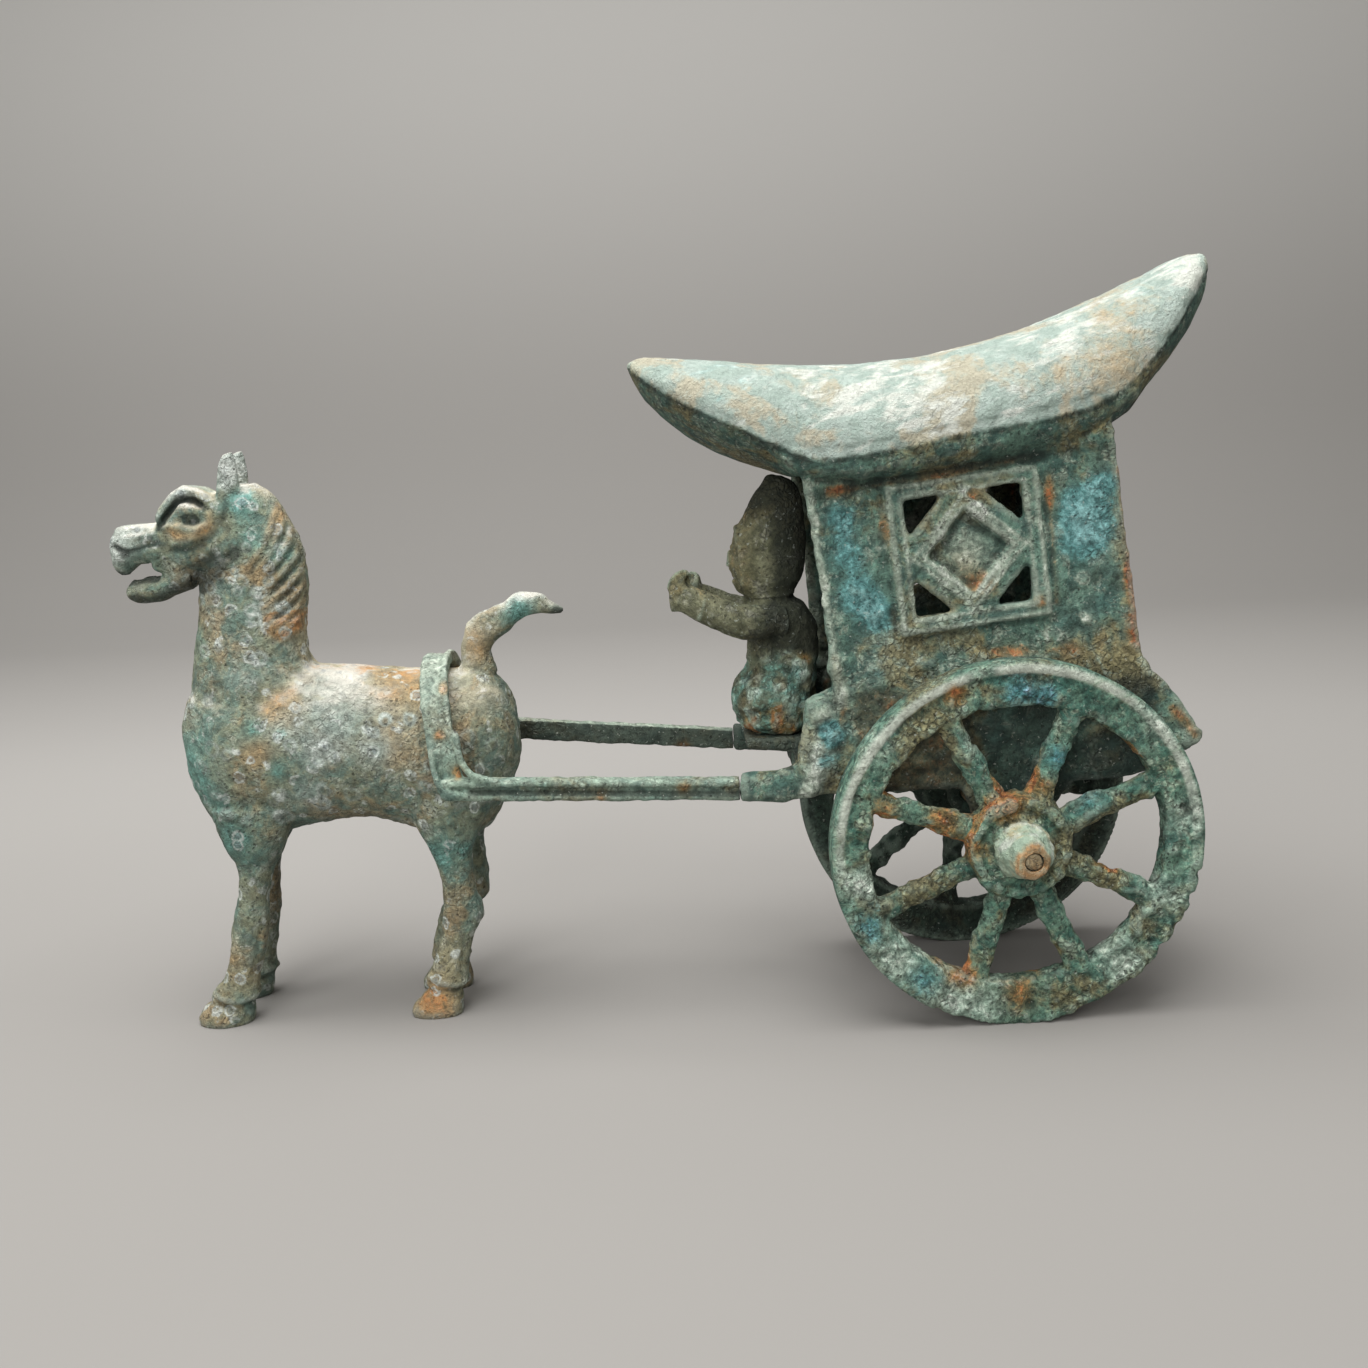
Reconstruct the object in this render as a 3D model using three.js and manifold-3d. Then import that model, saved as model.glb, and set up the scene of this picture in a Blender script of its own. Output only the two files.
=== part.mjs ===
// A cast bronze ornament: a horse draws a covered two-wheeled carriage with its driver.
// Millimetres, +Z up. The horse looks along -X and the wheels turn about an axle along Y.
// The model is laid out from the ground point under the axle, and the finished group is then
// moved so that its origin is the middle of the base of its bounding box.

import * as THREE from 'three';
import { mergeVertices } from 'three/addons/utils/BufferGeometryUtils.js';
import Module from 'manifold-3d';

const wasm = await Module();
wasm.setup();

const GAP = 0.3; // clearance between neighbouring pieces
const FACET_MERGE = 0.1; // facets closer to flat than this are merged after the joins

// Wheels and axle
const WHEEL_R = 50;
const RIM_DEPTH = 11.9; // radial depth of the felloe at its top and bottom
const RIM_OVAL = 0.055; // the opening inside the felloe is this much wider than high
const RIM_HALF = 4; // half of its thickness along the axle
const TRACK = 64; // between the wheels' middle planes
const SPOKES = 8;
const SPOKE_WIDE = 3.5; // half-width in the plane of the wheel
const SPOKE_THICK = 2.6; // half-thickness along the axle
const HUB_TIP = 18; // from the wheel's middle plane to the end of the nozzle
const AXLE_R = 2.3;
const AXLE_X = -0.8; // middle of the axle
const AXLE_SKEW = THREE.MathUtils.degToRad(2.4); // the axle sits slightly askew
const NEAR_SPOKE_TURN = 20; // degrees
const FAR_SPOKE_TURN = 39;
const NEAR_SPOKE_SWAY = [2, 2.4, 8.2, 5, 4, 7.5, 6, 1]; // the spokes were cast unevenly, in degrees
const FAR_SPOKE_SWAY = [0, 2, -1, 1, 1.4, -1, 1, 3];

// Carriage
const CABIN_HALF = 23.5; // half-width of the cabin
const CHASSIS_HALF = 24.3; // the lower part stands a little proud
const WALL = 3;
const CHASSIS_TOP = 101; // height of the step between chassis and cabin
const LOBE_R = 8; // bearing lobe round the axle
const ROOF_HALF = 29.5; // half-width of the canopy at its middle
const ROOF_FRONT = -98.4;
const ROOF_REAR = 59.6;
const WINDOW = { x: -9.9, z: 128, half: 15.7, turn: THREE.MathUtils.degToRad(6.2) };
const FAR_WINDOW_LIFT = 2.5; // the far side's window was set a little higher
const WINDOW_CORNER = 10.6; // leg of the open triangle in each corner
const WINDOW_BORDER = 4.2;
const WINDOW_RAISED = 0.9;

// Shafts and rump strap
const SHAFT_Y = 22.4; // from the middle plane to each shaft
const SHAFT_FRONT = -154;
const SHAFT_REAR = -72.6;
const SHAFT_DROP = 3.4; // the shafts come down this much towards the carriage
const SHAFT_Z = 69.2; // middle of the near shaft at the horse
const FAR_LIFT = { front: 8.2, rear: 4 }; // the far shaft was cast higher
const STRAP_THICK = 2.6;
const STRAP_HALF = 3.9; // half-width of the band
const STRAP_ARCH = { z: 76, wide: 19.5, high: 24.4 }; // inside of the arch over the rump

// Horse
const LEG_Y = 10.5;
const MANE_RIDGES = 10;

// Manifold solid of a closed three.js geometry, turned inside out if it needs it
function solid(geometry) {
  const bare = geometry.clone();
  bare.deleteAttribute('normal');
  bare.deleteAttribute('uv');
  const merged = mergeVertices(bare, 1e-4);
  const points = merged.getAttribute('position');
  const index = Array.from(merged.getIndex().array);
  const [a, b, c] = [new THREE.Vector3(), new THREE.Vector3(), new THREE.Vector3()];
  const faces = [];
  let volume = 0;
  for (let i = 0; i < index.length; i += 3) {
    const [p, q, r] = index.slice(i, i + 3);
    if (p === q || q === r || r === p) continue;
    a.fromBufferAttribute(points, p);
    b.fromBufferAttribute(points, q);
    c.fromBufferAttribute(points, r);
    volume += a.dot(b.cross(c));
    faces.push([p, q, r]);
  }
  const triVerts = new Uint32Array(faces.flatMap(([p, q, r]) => (volume < 0 ? [p, r, q] : [p, q, r])));
  const vertProperties = new Float32Array(points.array);
  return new wasm.Manifold(new wasm.Mesh({ numProp: 3, vertProperties, triVerts }));
}

function union(solids) {
  return solids.reduce((all, next) => all.add(next));
}

function cut(body, tools) {
  return tools.reduce((left, tool) => left.subtract(tool), body);
}

// Closed skin over a row of rings that all have the same number of points
function skin(rings) {
  const around = rings[0].length;
  const points = rings.flat();
  const index = [];
  for (let i = 0; i + 1 < rings.length; i += 1) {
    for (let k = 0; k < around; k += 1) {
      const next = (k + 1) % around;
      const [a, b] = [i * around + k, i * around + next];
      const [c, d] = [a + around, b + around];
      index.push(a, c, b, b, c, d);
    }
  }
  for (const [row, turned] of [[0, false], [rings.length - 1, true]]) {
    const middle = new THREE.Vector3();
    rings[row].forEach((p) => middle.addScaledVector(p, 1 / around));
    points.push(middle);
    for (let k = 0; k < around; k += 1) {
      const [a, b] = [row * around + k, row * around + ((k + 1) % around)];
      index.push(points.length - 1, turned ? b : a, turned ? a : b);
    }
  }
  const geometry = new THREE.BufferGeometry();
  const flat = points.flatMap((p) => [p.x, p.y, p.z]);
  geometry.setAttribute('position', new THREE.Float32BufferAttribute(flat, 3));
  geometry.setIndex(index);
  return geometry;
}

// Point of a superellipse with half-axes 1; power 2 is a circle, and more is squarer
function superPoint(angle, power) {
  const [c, s] = [Math.cos(angle), Math.sin(angle)];
  const bend = (v) => Math.sign(v) * Math.abs(v) ** (2 / power);
  return [bend(c), bend(s)];
}

// A limb given by its side view: each station is the two outline points, the half-width
// across, and the place along Y: [x1, z1, x2, z2, half, y]
function limb(stations, around = 12, power = 2) {
  const rings = stations.map(([x1, z1, x2, z2, half, y = 0]) => {
    const ring = [];
    for (let k = 0; k < around; k += 1) {
      const [across, along] = superPoint((2 * Math.PI * (k + 0.5)) / around, power);
      const x = (x1 + x2) / 2 + ((x1 - x2) / 2) * along;
      const z = (z1 + z2) / 2 + ((z1 - z2) / 2) * along;
      ring.push(new THREE.Vector3(x, y + half * across, z));
    }
    return ring;
  });
  return solid(skin(rings));
}

// A round bar through given points with a radius at each, flattened along Y by squash
function bar(points, radii, sides = 6, squash = 1) {
  const path = points.map((p) => new THREE.Vector3(...p));
  const rings = path.map((p, i) => {
    const before = path[Math.max(i - 1, 0)];
    const after = path[Math.min(i + 1, path.length - 1)];
    const along = after.clone().sub(before).normalize();
    const up = Math.abs(along.y) > 0.9 ? new THREE.Vector3(1, 0, 0) : new THREE.Vector3(0, 1, 0);
    const side = new THREE.Vector3().crossVectors(along, up).normalize();
    const over = new THREE.Vector3().crossVectors(side, along);
    return Array.from({ length: sides }, (_, k) => {
      const angle = (2 * Math.PI * (k + 0.5)) / sides;
      return p
        .clone()
        .addScaledVector(side, radii[i] * Math.cos(angle))
        .addScaledVector(over, radii[i] * squash * Math.sin(angle));
    });
  });
  return solid(skin(rings));
}

function ellipsoid(x, y, z, rx, ry, rz, wide = 10, high = 6) {
  const geometry = new THREE.SphereGeometry(1, wide, high);
  geometry.scale(rx, ry, rz);
  geometry.translate(x, y, z);
  return solid(geometry);
}

// A side-view outline of [x, z] points, extruded between two places on Y
function slab(outline, y1, y2) {
  const shape = new THREE.Shape(outline.map(([x, z]) => new THREE.Vector2(x, z)));
  const geometry = new THREE.ExtrudeGeometry(shape, { depth: y2 - y1, bevelEnabled: false });
  geometry.rotateX(Math.PI / 2);
  geometry.translate(0, y2, 0);
  return solid(geometry);
}

function cylinderY(x, z, radius, y1, y2, sides = 20) {
  const geometry = new THREE.CylinderGeometry(radius, radius, y2 - y1, sides);
  geometry.translate(x, (y1 + y2) / 2, z);
  return solid(geometry);
}

// Smooth value from a list of [place, value] pairs
function along(pairs, place) {
  const last = pairs.length - 1;
  if (place <= pairs[0][0]) return pairs[0][1];
  if (place >= pairs[last][0]) return pairs[last][1];
  const i = pairs.findIndex(([x]) => x >= place) - 1;
  const slope = (k) => {
    const [lo, hi] = [pairs[Math.max(k - 1, 0)], pairs[Math.min(k + 1, last)]];
    return (hi[1] - lo[1]) / (hi[0] - lo[0]);
  };
  const [[x0, v0], [x1, v1]] = [pairs[i], pairs[i + 1]];
  const [span, t] = [x1 - x0, (place - x0) / (x1 - x0)];
  const [t2, t3] = [t * t, t * t * t];
  const start = (2 * t3 - 3 * t2 + 1) * v0 + (t3 - 2 * t2 + t) * span * slope(i);
  return start + (3 * t2 - 2 * t3) * v1 + (t3 - t2) * span * slope(i + 1);
}

// Turns and shifts a solid that was made about the middle of the axle
function onAxle(body) {
  const skew = new THREE.Matrix4().makeRotationZ(AXLE_SKEW);
  const place = new THREE.Matrix4().makeTranslation(AXLE_X, 0, WHEEL_R);
  return body.transform(place.multiply(skew).elements);
}

// Horse: barrel, neck and head

function horseBody() {
  const barrel = limb([
    [-228.9, 87, -228.9, 77, 4],
    [-227.2, 93, -227.2, 68, 9.5],
    [-223.6, 98, -223.6, 59.5, 13.5],
    [-218, 101, -218, 53.8, 16.8],
    [-209, 102.2, -209, 52.4, 18.4],
    [-196, 102.3, -196, 55, 19],
    [-183, 101.4, -183, 56.8, 19.2],
    [-171, 100.2, -171, 55.2, 18.9],
    [-161, 99.4, -161, 51.5, 18.5],
    [-152, 99.2, -152, 50, 17.8],
    [-145, 99.6, -145, 51.8, 16],
    [-139.6, 96.4, -139.6, 59.5, 12.6],
    [-136, 90.5, -136, 67, 8.6],
    [-134.3, 83, -134.3, 73.5, 4],
  ], 16, 2.15);
  const neck = limb([
    [-227.6, 86, -184, 88, 15],
    [-226.4, 96, -187.5, 98, 14.6],
    [-224.8, 106, -191.8, 106, 13],
    [-222.8, 115, -191.4, 116, 11.2],
    [-221.6, 123.5, -190, 125, 9.8],
    [-221, 131.5, -190.4, 133.5, 9],
    [-220, 139.5, -193.4, 142, 8.2],
    [-217, 147, -197.6, 149.4, 7.2],
    [-211.5, 151.5, -202.6, 153.2, 4.6],
  ], 12);
  const skull = limb([
    [-204.2, 153.2, -204.8, 134, 5.6],
    [-209, 153, -210, 132, 7.4],
    [-214.5, 151.4, -216.5, 129.4, 8.4],
    [-219.8, 153.1, -222.4, 126.6, 8],
    [-223.8, 151.8, -227, 125.6, 7],
    [-227.2, 148.4, -230.8, 129, 6.2],
    [-230.2, 143.8, -233.6, 133, 5.7],
    [-236, 143.2, -237, 132, 5.5],
    [-241.2, 142.9, -241.4, 129.8, 5.7],
    [-243.8, 140.2, -243.4, 130.6, 4.5],
  ], 12, 2.3);
  const jaw = limb([
    [-222, 133, -222.4, 124.6, 6.6],
    [-228, 129.6, -227.6, 123, 5.6],
    [-232.6, 128.2, -232, 121.2, 4.8],
    [-237, 127.6, -236.4, 121, 4.5],
    [-240.4, 126.6, -239.8, 121.8, 3.7],
    [-241.4, 125.4, -241.2, 123.8, 2],
  ], 10);
  return union([barrel, neck, skull, jaw]);
}

// Brow ridges, eyes, cheek ridges, nostrils and ears, on both sides
function horseFace(side) {
  const brow = bar([
    [-228.8, side * 4.6, 141.8], [-226.2, side * 6, 145.8], [-222.4, side * 7, 148.8],
    [-218.4, side * 7.6, 148.8], [-215.6, side * 8, 146], [-216, side * 8, 143],
  ], [0.9, 1.4, 1.5, 1.4, 1.2, 0.8], 5);
  const cheek = bar([
    [-240, side * 5.2, 136], [-233, side * 5.5, 137], [-226.4, side * 6.8, 136.8],
    [-220.4, side * 7.8, 138.2], [-215.8, side * 8, 141.2],
  ], [0.8, 1.2, 1.4, 1.4, 0.8], 5);
  const jowl = bar([
    [-228, side * 5, 127.6], [-221.6, side * 6.6, 130.6], [-214.6, side * 7.2, 134],
    [-208.8, side * 7.4, 137.6],
  ], [1.2, 1.9, 2.1, 1.4], 5);
  const eye = ellipsoid(-220.6, side * 7, 143.9, 3, 1.8, 2, 8, 4);
  const nostril = ellipsoid(-241.4, side * 4.6, 138.4, 2.1, 1.6, 2.3, 6, 4);
  const ear = limb([
    [-213, 149, -206, 149, 2.4, side * 4.2],
    [-212.4, 154, -205.6, 154.4, 2.2, side * 4.4],
    [-211.4, 158.6, -206, 159.4, 1.9, side * 4.6],
    [-209.8, 161.3, -206.8, 162.2, 1, side * 4.7],
  ], 8);
  return [brow, cheek, jowl, eye, nostril, ear];
}

// Mane: slanting locks that fall from the crest over each side of the neck
function mane(side) {
  const locks = [];
  for (let i = 0; i < MANE_RIDGES; i += 1) {
    const t = i / (MANE_RIDGES - 1);
    const top = [along([[0, -200.5], [0.4, -193.6], [1, -192.6]], t), side * 4.2, 148.5 - 31 * t];
    const low = [-206.5 + 3.6 * t, side * 9.6, 131.4 - 19.4 * t];
    const wide = [(top[0] + low[0]) / 2 + 2.2 - 1.6 * t, side * 8.4, (top[2] + low[2]) / 2 - 0.6];
    locks.push(bar([top, wide, low], [1, 1.6, 0.8], 4));
  }
  return locks;
}

// A leg from its outline in side view; lean is a list of [height, shift along X]
function leg(outline, side, lean) {
  const stations = outline.map(([x1, x2, z, half]) => {
    const shift = along(lean, z);
    return [x1 + shift, z, x2 + shift, z, half, side * LEG_Y];
  });
  return limb(stations, 8, 2.3);
}

function foreLeg(side) {
  const lean = side > 0 ? [[0, 0], [12, -1], [30, -2.4], [45, -3], [64, -2]] : [[0, 0], [64, 0]];
  return leg([
    [-230.2, -214.6, 0, 6.2],
    [-231.2, -214.2, 1.2, 6.3],
    [-228.6, -213.4, 5.4, 5.4],
    [-225.9, -213.4, 6.4, 4.6],
    [-227, -212.1, 7.8, 5.4],
    [-222.6, -211.6, 13, 4.9],
    [-219.8, -209.3, 21, 4.6],
    [-218.4, -207.3, 29.5, 4.9],
    [-216.2, -206.8, 37, 5.1],
    [-215.2, -204.6, 45, 5.8],
    [-218.6, -200.2, 53, 7.3],
    [-222.4, -197, 64, 8],
  ], side, lean);
}

function hindLeg(side) {
  const farLean = [[0, 0], [12, -2.6], [22, -3.4], [28, -2], [34, 0.4], [42, 0.4], [52, 0], [64, 0]];
  const lean = side > 0 ? farLean : [[0, 0], [64, 0]];
  return leg([
    [-169, -153.8, 0, 6],
    [-169.6, -153.4, 1.2, 6.1],
    [-166.2, -153.4, 5.4, 5.2],
    [-163.5, -153.4, 8, 4.5],
    [-164.6, -152, 9.4, 5.2],
    [-162.4, -151.3, 15, 4.8],
    [-159.4, -149.4, 23.5, 4.5],
    [-158.5, -145.8, 30, 5],
    [-157.9, -147.6, 37, 5.1],
    [-159.3, -148.2, 45, 5.7],
    [-162.9, -145.8, 53, 7.2],
    [-167.6, -139.4, 64, 8.2],
  ], side, lean);
}

function tail() {
  return limb([
    [-150, 99, -139.2, 97.5, 5],
    [-149, 104.6, -141, 103.2, 4.2],
    [-147.2, 110.8, -138.8, 106.2, 4],
    [-142.8, 114.8, -135.6, 108.4, 3.8],
    [-136.6, 116.7, -132.4, 111.2, 3.5],
    [-132.4, 119.4, -129.6, 112.8, 3.3],
    [-126.6, 118.9, -125.4, 113.3, 2.8],
    [-122.4, 116.3, -121.8, 113, 2],
    [-119.9, 114.7, -119.9, 113.6, 0.9],
  ], 10);
}

function horse() {
  const sides = [-1, 1];
  const pieces = [horseBody(), tail()];
  for (const side of sides) {
    pieces.push(foreLeg(side), hindLeg(side), ...horseFace(side), ...mane(side));
  }
  return union(pieces);
}

// Carriage: canopy, cabin and chassis

// Canopy in side view: the crown on the middle plane, the sharp rim, and the keel below it
const CROWN = [
  [-98.4, 181], [-94, 182.1], [-78, 181], [-61, 179.2], [-43, 178.1], [-27.5, 178.5], [-10.8, 180.7],
  [6, 184.3], [22.5, 189.9], [39, 196.8], [52.4, 202.5], [56.7, 203.1], [59.6, 200.4],
];
const RIM = [
  [-98.4, 180.4], [-94, 176.3], [-84, 169.8], [-73.6, 164.6], [-63, 159.2], [-54, 155], [-48.6, 153.6],
  [-37, 154.6], [-10.4, 158.9], [17, 163], [27.6, 166.8], [36, 173.2], [44.3, 182], [52, 192], [59.6, 199.6],
];
const KEEL = [
  [-98.4, 179.6], [-95, 172], [-84, 161.3], [-73, 154.8], [-64, 151.4], [-55, 148.4], [-48, 146.2], [-37, 145],
  [-10, 149], [17, 153.4], [29, 158], [36, 162.4], [43.6, 169.8], [52, 179.8], [57.4, 189.8], [59.6, 198.8],
];

function canopyHalf(x) {
  const middle = (ROOF_FRONT + ROOF_REAR) / 2;
  const s = Math.abs(x - middle) / (ROOF_REAR - middle);
  return ROOF_HALF * Math.max(1 - s ** 3, 0.0004) ** 0.55;
}

function canopyRing(x, around, inset = 0, roofWall = 0) {
  const [crown, rim, keel] = [CROWN, RIM, KEEL].map((line) => along(line, x));
  const half = canopyHalf(x) - inset;
  const boxed = x > -56 && x < 34 ? 3 : 1.7; // the underside flares into the cabin walls
  return Array.from({ length: around }, (_, k) => {
    const angle = (2 * Math.PI * k) / around;
    const [across, up] = superPoint(angle, Math.sin(angle) < 0 ? boxed : 2.1);
    const height = up > 0 ? (crown - roofWall - rim) * up : (rim - keel) * up;
    return new THREE.Vector3(x, half * across, rim + height);
  });
}

function canopy() {
  const places = [
    -98.4, -97, -94, -89, -82, -75, -68, -61, -55.9, -48, -37, -24, -10, 4, 16, 27, 33.9, 40, 46.5, 52.5, 57, 59.6,
  ];
  return solid(skin(places.map((x) => canopyRing(x, 20))));
}

// Hollow under the canopy, over the cabin
function vault() {
  const places = [-46, -36, -24, -12, 0, 12, 23];
  const inset = ROOF_HALF - CABIN_HALF + WALL;
  return solid(skin(places.map((x) => canopyRing(x, 16, inset, 1.5 * WALL))));
}

// The four open corner triangles of one window, and the sunk lozenge between them
function windowPoint(u, v, side) {
  const [c, s] = [Math.cos(WINDOW.turn), Math.sin(WINDOW.turn)];
  const z = side > 0 ? WINDOW.z + FAR_WINDOW_LIFT : WINDOW.z;
  return [WINDOW.x + u * c - v * s, z + u * s + v * c];
}

function windowFrame(side) {
  const outer = WINDOW.half + WINDOW_BORDER;
  const face = side * CABIN_HALF;
  const [y1, y2] = [face - side, face + side * WINDOW_RAISED].sort((a, b) => a - b);
  const corners = [[-outer, -outer], [outer, -outer], [outer, outer], [-outer, outer]];
  return slab(corners.map(([u, v]) => windowPoint(u, v, side)), y1, y2);
}

function windowCuts(side) {
  const past = 3; // the cutters reach this far outside the wall
  const [y1, y2] = [side * (CABIN_HALF + past), side * (CABIN_HALF - WALL - 1)].sort((a, b) => a - b);
  const cuts = [];
  for (const u of [-1, 1]) {
    for (const v of [-1, 1]) {
      const corner = [u * WINDOW.half, v * WINDOW.half];
      const alongU = [corner[0] - u * WINDOW_CORNER, corner[1]];
      const alongV = [corner[0], corner[1] - v * WINDOW_CORNER];
      const triangle = [corner, alongU, alongV].map(([a, b]) => windowPoint(a, b, side));
      if (u * v < 0) triangle.reverse();
      cuts.push(slab(triangle, y1, y2));
    }
  }
  const sunk = 11; // half-diagonal of the lozenge
  const floor = CABIN_HALF + WINDOW_RAISED - 1.5;
  const lozenge = [[-sunk, 0], [0, -sunk], [sunk, 0], [0, sunk]].map(([a, b]) => windowPoint(a, b, side));
  cuts.push(side < 0 ? slab(lozenge, y1, -floor) : slab(lozenge, floor, y2));
  return cuts;
}

// Side view of the cabin and chassis, which lean forwards, with a foot that flares at the back
const BODY = [
  [-53.2, 157], [-49.3, 125], [-46, 92.5], [-54, 89.5], [-56.2, 72], [-56, 62.8], [34, 64.4], [48, 71.2],
  [51.8, 74.8], [51.6, 78.6], [48.6, 82.6], [46, 86.7], [42.6, 90.8], [38.8, 93.8], [36.4, 98], [32.8, 124],
  [26.8, 170],
];
const HOLLOW = [
  [-57.4, 148], [-57.8, 77], [-45.6, 77], [-44.8, 71.4], [30, 71.6], [41, 75.6], [43, 80], [40.6, 85.6],
  [35.2, 90.8], [33.4, 97], [29.7, 124], [25, 158.5], [-48, 150.5],
];

// Low bead down the front edge of each side wall
function cornerBead(side) {
  const y = side * (CABIN_HALF - 0.6);
  return bar([[-52, y, 151], [-48.1, y, 122], [-45.2, y, 93]], [1.7, 1.7, 1.7], 6);
}

// Rough boss where a shaft meets the chassis
function socket(side) {
  const lift = side > 0 ? FAR_LIFT.rear : 0;
  const y = side * SHAFT_Y;
  return limb([
    [SHAFT_REAR + GAP, 70.6 + lift, SHAFT_REAR + GAP, 62.2 + lift, 3.2, y],
    [-66, 70.4 + lift, -66, 61.6 + lift, 3.4, y],
    [-60, 71 + lift, -60, 61.2 + lift, 3.3, y],
    [-52, 75 + lift, -52, 62 + lift, 2.4, y],
  ], 10, 3);
}

function carriage() {
  const sides = [-1, 1];
  const cabin = slab(BODY, -CABIN_HALF, CABIN_HALF);
  const below = [[-60, 60], [60, 60], [60, CHASSIS_TOP], [-60, CHASSIS_TOP]];
  const belt = slab(below, -CHASSIS_HALF, CHASSIS_HALF);
  const chassis = slab(BODY, -CHASSIS_HALF, CHASSIS_HALF).intersect(belt);
  const ledge = slab([[-70, 74.4], [-50, 72], [-50, 77], [-70, 77.2]], -13, 13);
  const trim = [...sides.map(windowFrame), ...sides.map(cornerBead)];
  const outside = union([cabin, chassis, canopy(), ledge, ...trim]);
  const hollow = slab(HOLLOW, -CABIN_HALF + WALL, CABIN_HALF - WALL);
  const shell = cut(outside, [hollow, vault(), ...sides.flatMap(windowCuts)]);
  const lobes = sides.map((side) => {
    const [y1, y2] = [side * CHASSIS_HALF, side * (CHASSIS_HALF - 4)].sort((a, b) => a - b);
    const web = slab([[-LOBE_R, WHEEL_R], [LOBE_R, WHEEL_R], [LOBE_R + 12, 67], [-LOBE_R - 5, 67]], y1, y2);
    return cylinderY(0, WHEEL_R, LOBE_R, y1, y2, 24).add(web);
  });
  const bore = onAxle(cylinderY(0, 0, AXLE_R + GAP, -TRACK / 2, TRACK / 2, 20));
  return union([shell, ...sides.map(socket), ...lobes]).subtract(bore);
}

// Driver: a seated figure in a robe and a tall pointed hood, arms held forward for the reins
function driver() {
  const figure = limb([
    [-68.5, 77.5, -51, 77.4, 10],
    [-72, 80, -49.8, 80, 11.8],
    [-73.4, 86, -49.2, 86, 12.8],
    [-72.2, 91.5, -48.8, 91.5, 12],
    [-69, 96.5, -48.2, 96.5, 10.4],
    [-68.4, 101, -47.8, 101, 9.4],
    [-68.6, 106, -48, 106, 10.2],
    [-69.4, 110, -49.6, 110, 11],
    [-69.4, 113.4, -52, 113.4, 9.6],
    [-68.6, 115.6, -54.6, 115.6, 7],
    [-71, 117, -54.4, 117, 7.6],
    [-72.6, 120.5, -52.6, 120.5, 8.5],
    [-73.5, 125.5, -51.8, 125.5, 8.8],
    [-72.4, 131, -51.8, 131, 8.4],
    [-69.4, 137, -52.8, 137, 7.2],
    [-66, 142.6, -53.6, 142.6, 5.8],
    [-62.6, 147, -56, 147, 3.8],
    [-61.2, 149, -58.4, 148.9, 1.8],
  ], 12);
  const nearSleeve = bar([
    [-58, -8, 109.5], [-67, -10, 109.4], [-76, -9.6, 112.2], [-82.2, -8, 115.2], [-85.6, -6.6, 117],
  ], [4.2, 4.8, 4.5, 4.2, 4], 7);
  const nearFist = bar([
    [-86.8, -6.4, 113], [-87, -6.2, 117.4], [-86, -5.6, 121.4], [-83.8, -5, 123.4],
  ], [2.5, 2.9, 2.5, 1.6], 7);
  const farSleeve = bar([
    [-58, 8, 109.5], [-67, 10, 109.4], [-75, 9, 112], [-81, 7.2, 115.4], [-84.2, 5.6, 117.2],
  ], [4.2, 4.8, 4.4, 3.7, 3], 7);
  const farFist = ellipsoid(-82.6, 5, 119.4, 2.4, 2.3, 3.3, 7, 5);
  return union([figure, nearSleeve, nearFist, farSleeve, farFist]);
}

// Shafts and rump strap: two grooved bars, joined at the horse by an arched band

// Section of a shaft: flat inside, and two beads with a groove between them outside
function shaftSection(side) {
  const half = 3;
  const outline = [
    [2.3, -half], [-1.5, -half], [-2.6, -2.3], [-2.6, -1.3], [-1.4, -0.6],
    [-1.4, 0.6], [-2.6, 1.3], [-2.6, 2.3], [-1.5, half], [2.3, half],
  ];
  return outline.map(([y, z]) => [-side * y, z]);
}

function shaftMiddle(x, side) {
  const t = (x - SHAFT_FRONT) / (SHAFT_REAR - SHAFT_FRONT);
  const lift = side > 0 ? FAR_LIFT.front + (FAR_LIFT.rear - FAR_LIFT.front) * t : 0;
  return SHAFT_Z - SHAFT_DROP * t + lift;
}

function shaft(side) {
  const section = shaftSection(side);
  const places = [SHAFT_FRONT, SHAFT_FRONT + 1.5, -140, -120, -100, -85, SHAFT_REAR];
  const rings = places.map((x, i) => {
    const [size, z] = [i === 0 ? 0.6 : 1, shaftMiddle(x, side)];
    return section.map(([y, h]) => new THREE.Vector3(x, side * SHAFT_Y + y * size, z + h * size));
  });
  return solid(skin(rings));
}

// The band leans: its lower ends stand further back than its top, and its rear edge has a bead
function strap() {
  const bandX = (z) => -151.4 - (5 * (z - 68)) / 36;
  const start = -Math.asin(0.3);
  const end = Math.PI + Math.asin(0.04);
  const steps = 30;
  const rings = [];
  for (let i = 0; i <= steps; i += 1) {
    const [across, up] = superPoint(start + ((end - start) * i) / steps, 2.15);
    const at = (x, out) => {
      const [wide, high] = [STRAP_ARCH.wide + out, STRAP_ARCH.high + out];
      return new THREE.Vector3(x, -wide * across, STRAP_ARCH.z + high * up);
    };
    const middle = bandX(STRAP_ARCH.z + STRAP_ARCH.high * up);
    const [front, back] = [middle - STRAP_HALF, middle + STRAP_HALF];
    rings.push([
      at(front, 0), at(back, 0),
      at(back, STRAP_THICK + 0.5), at(back - 0.5, STRAP_THICK + 0.9), at(back - 1.6, STRAP_THICK + 0.5),
      at(back - 2.2, STRAP_THICK - 0.2), at(front + 0.6, STRAP_THICK), at(front, STRAP_THICK - 0.7),
    ]);
  }
  return solid(skin(rings));
}

function shafts() {
  return union([strap(), shaft(-1), shaft(1)]);
}

// Wheels, each made about its own axis with its outside towards -Y

function lathe(profile, segments) {
  const points = [...profile, profile[0]].map(([r, y]) => new THREE.Vector2(r, y));
  return solid(new THREE.LatheGeometry(points, segments));
}

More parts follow.
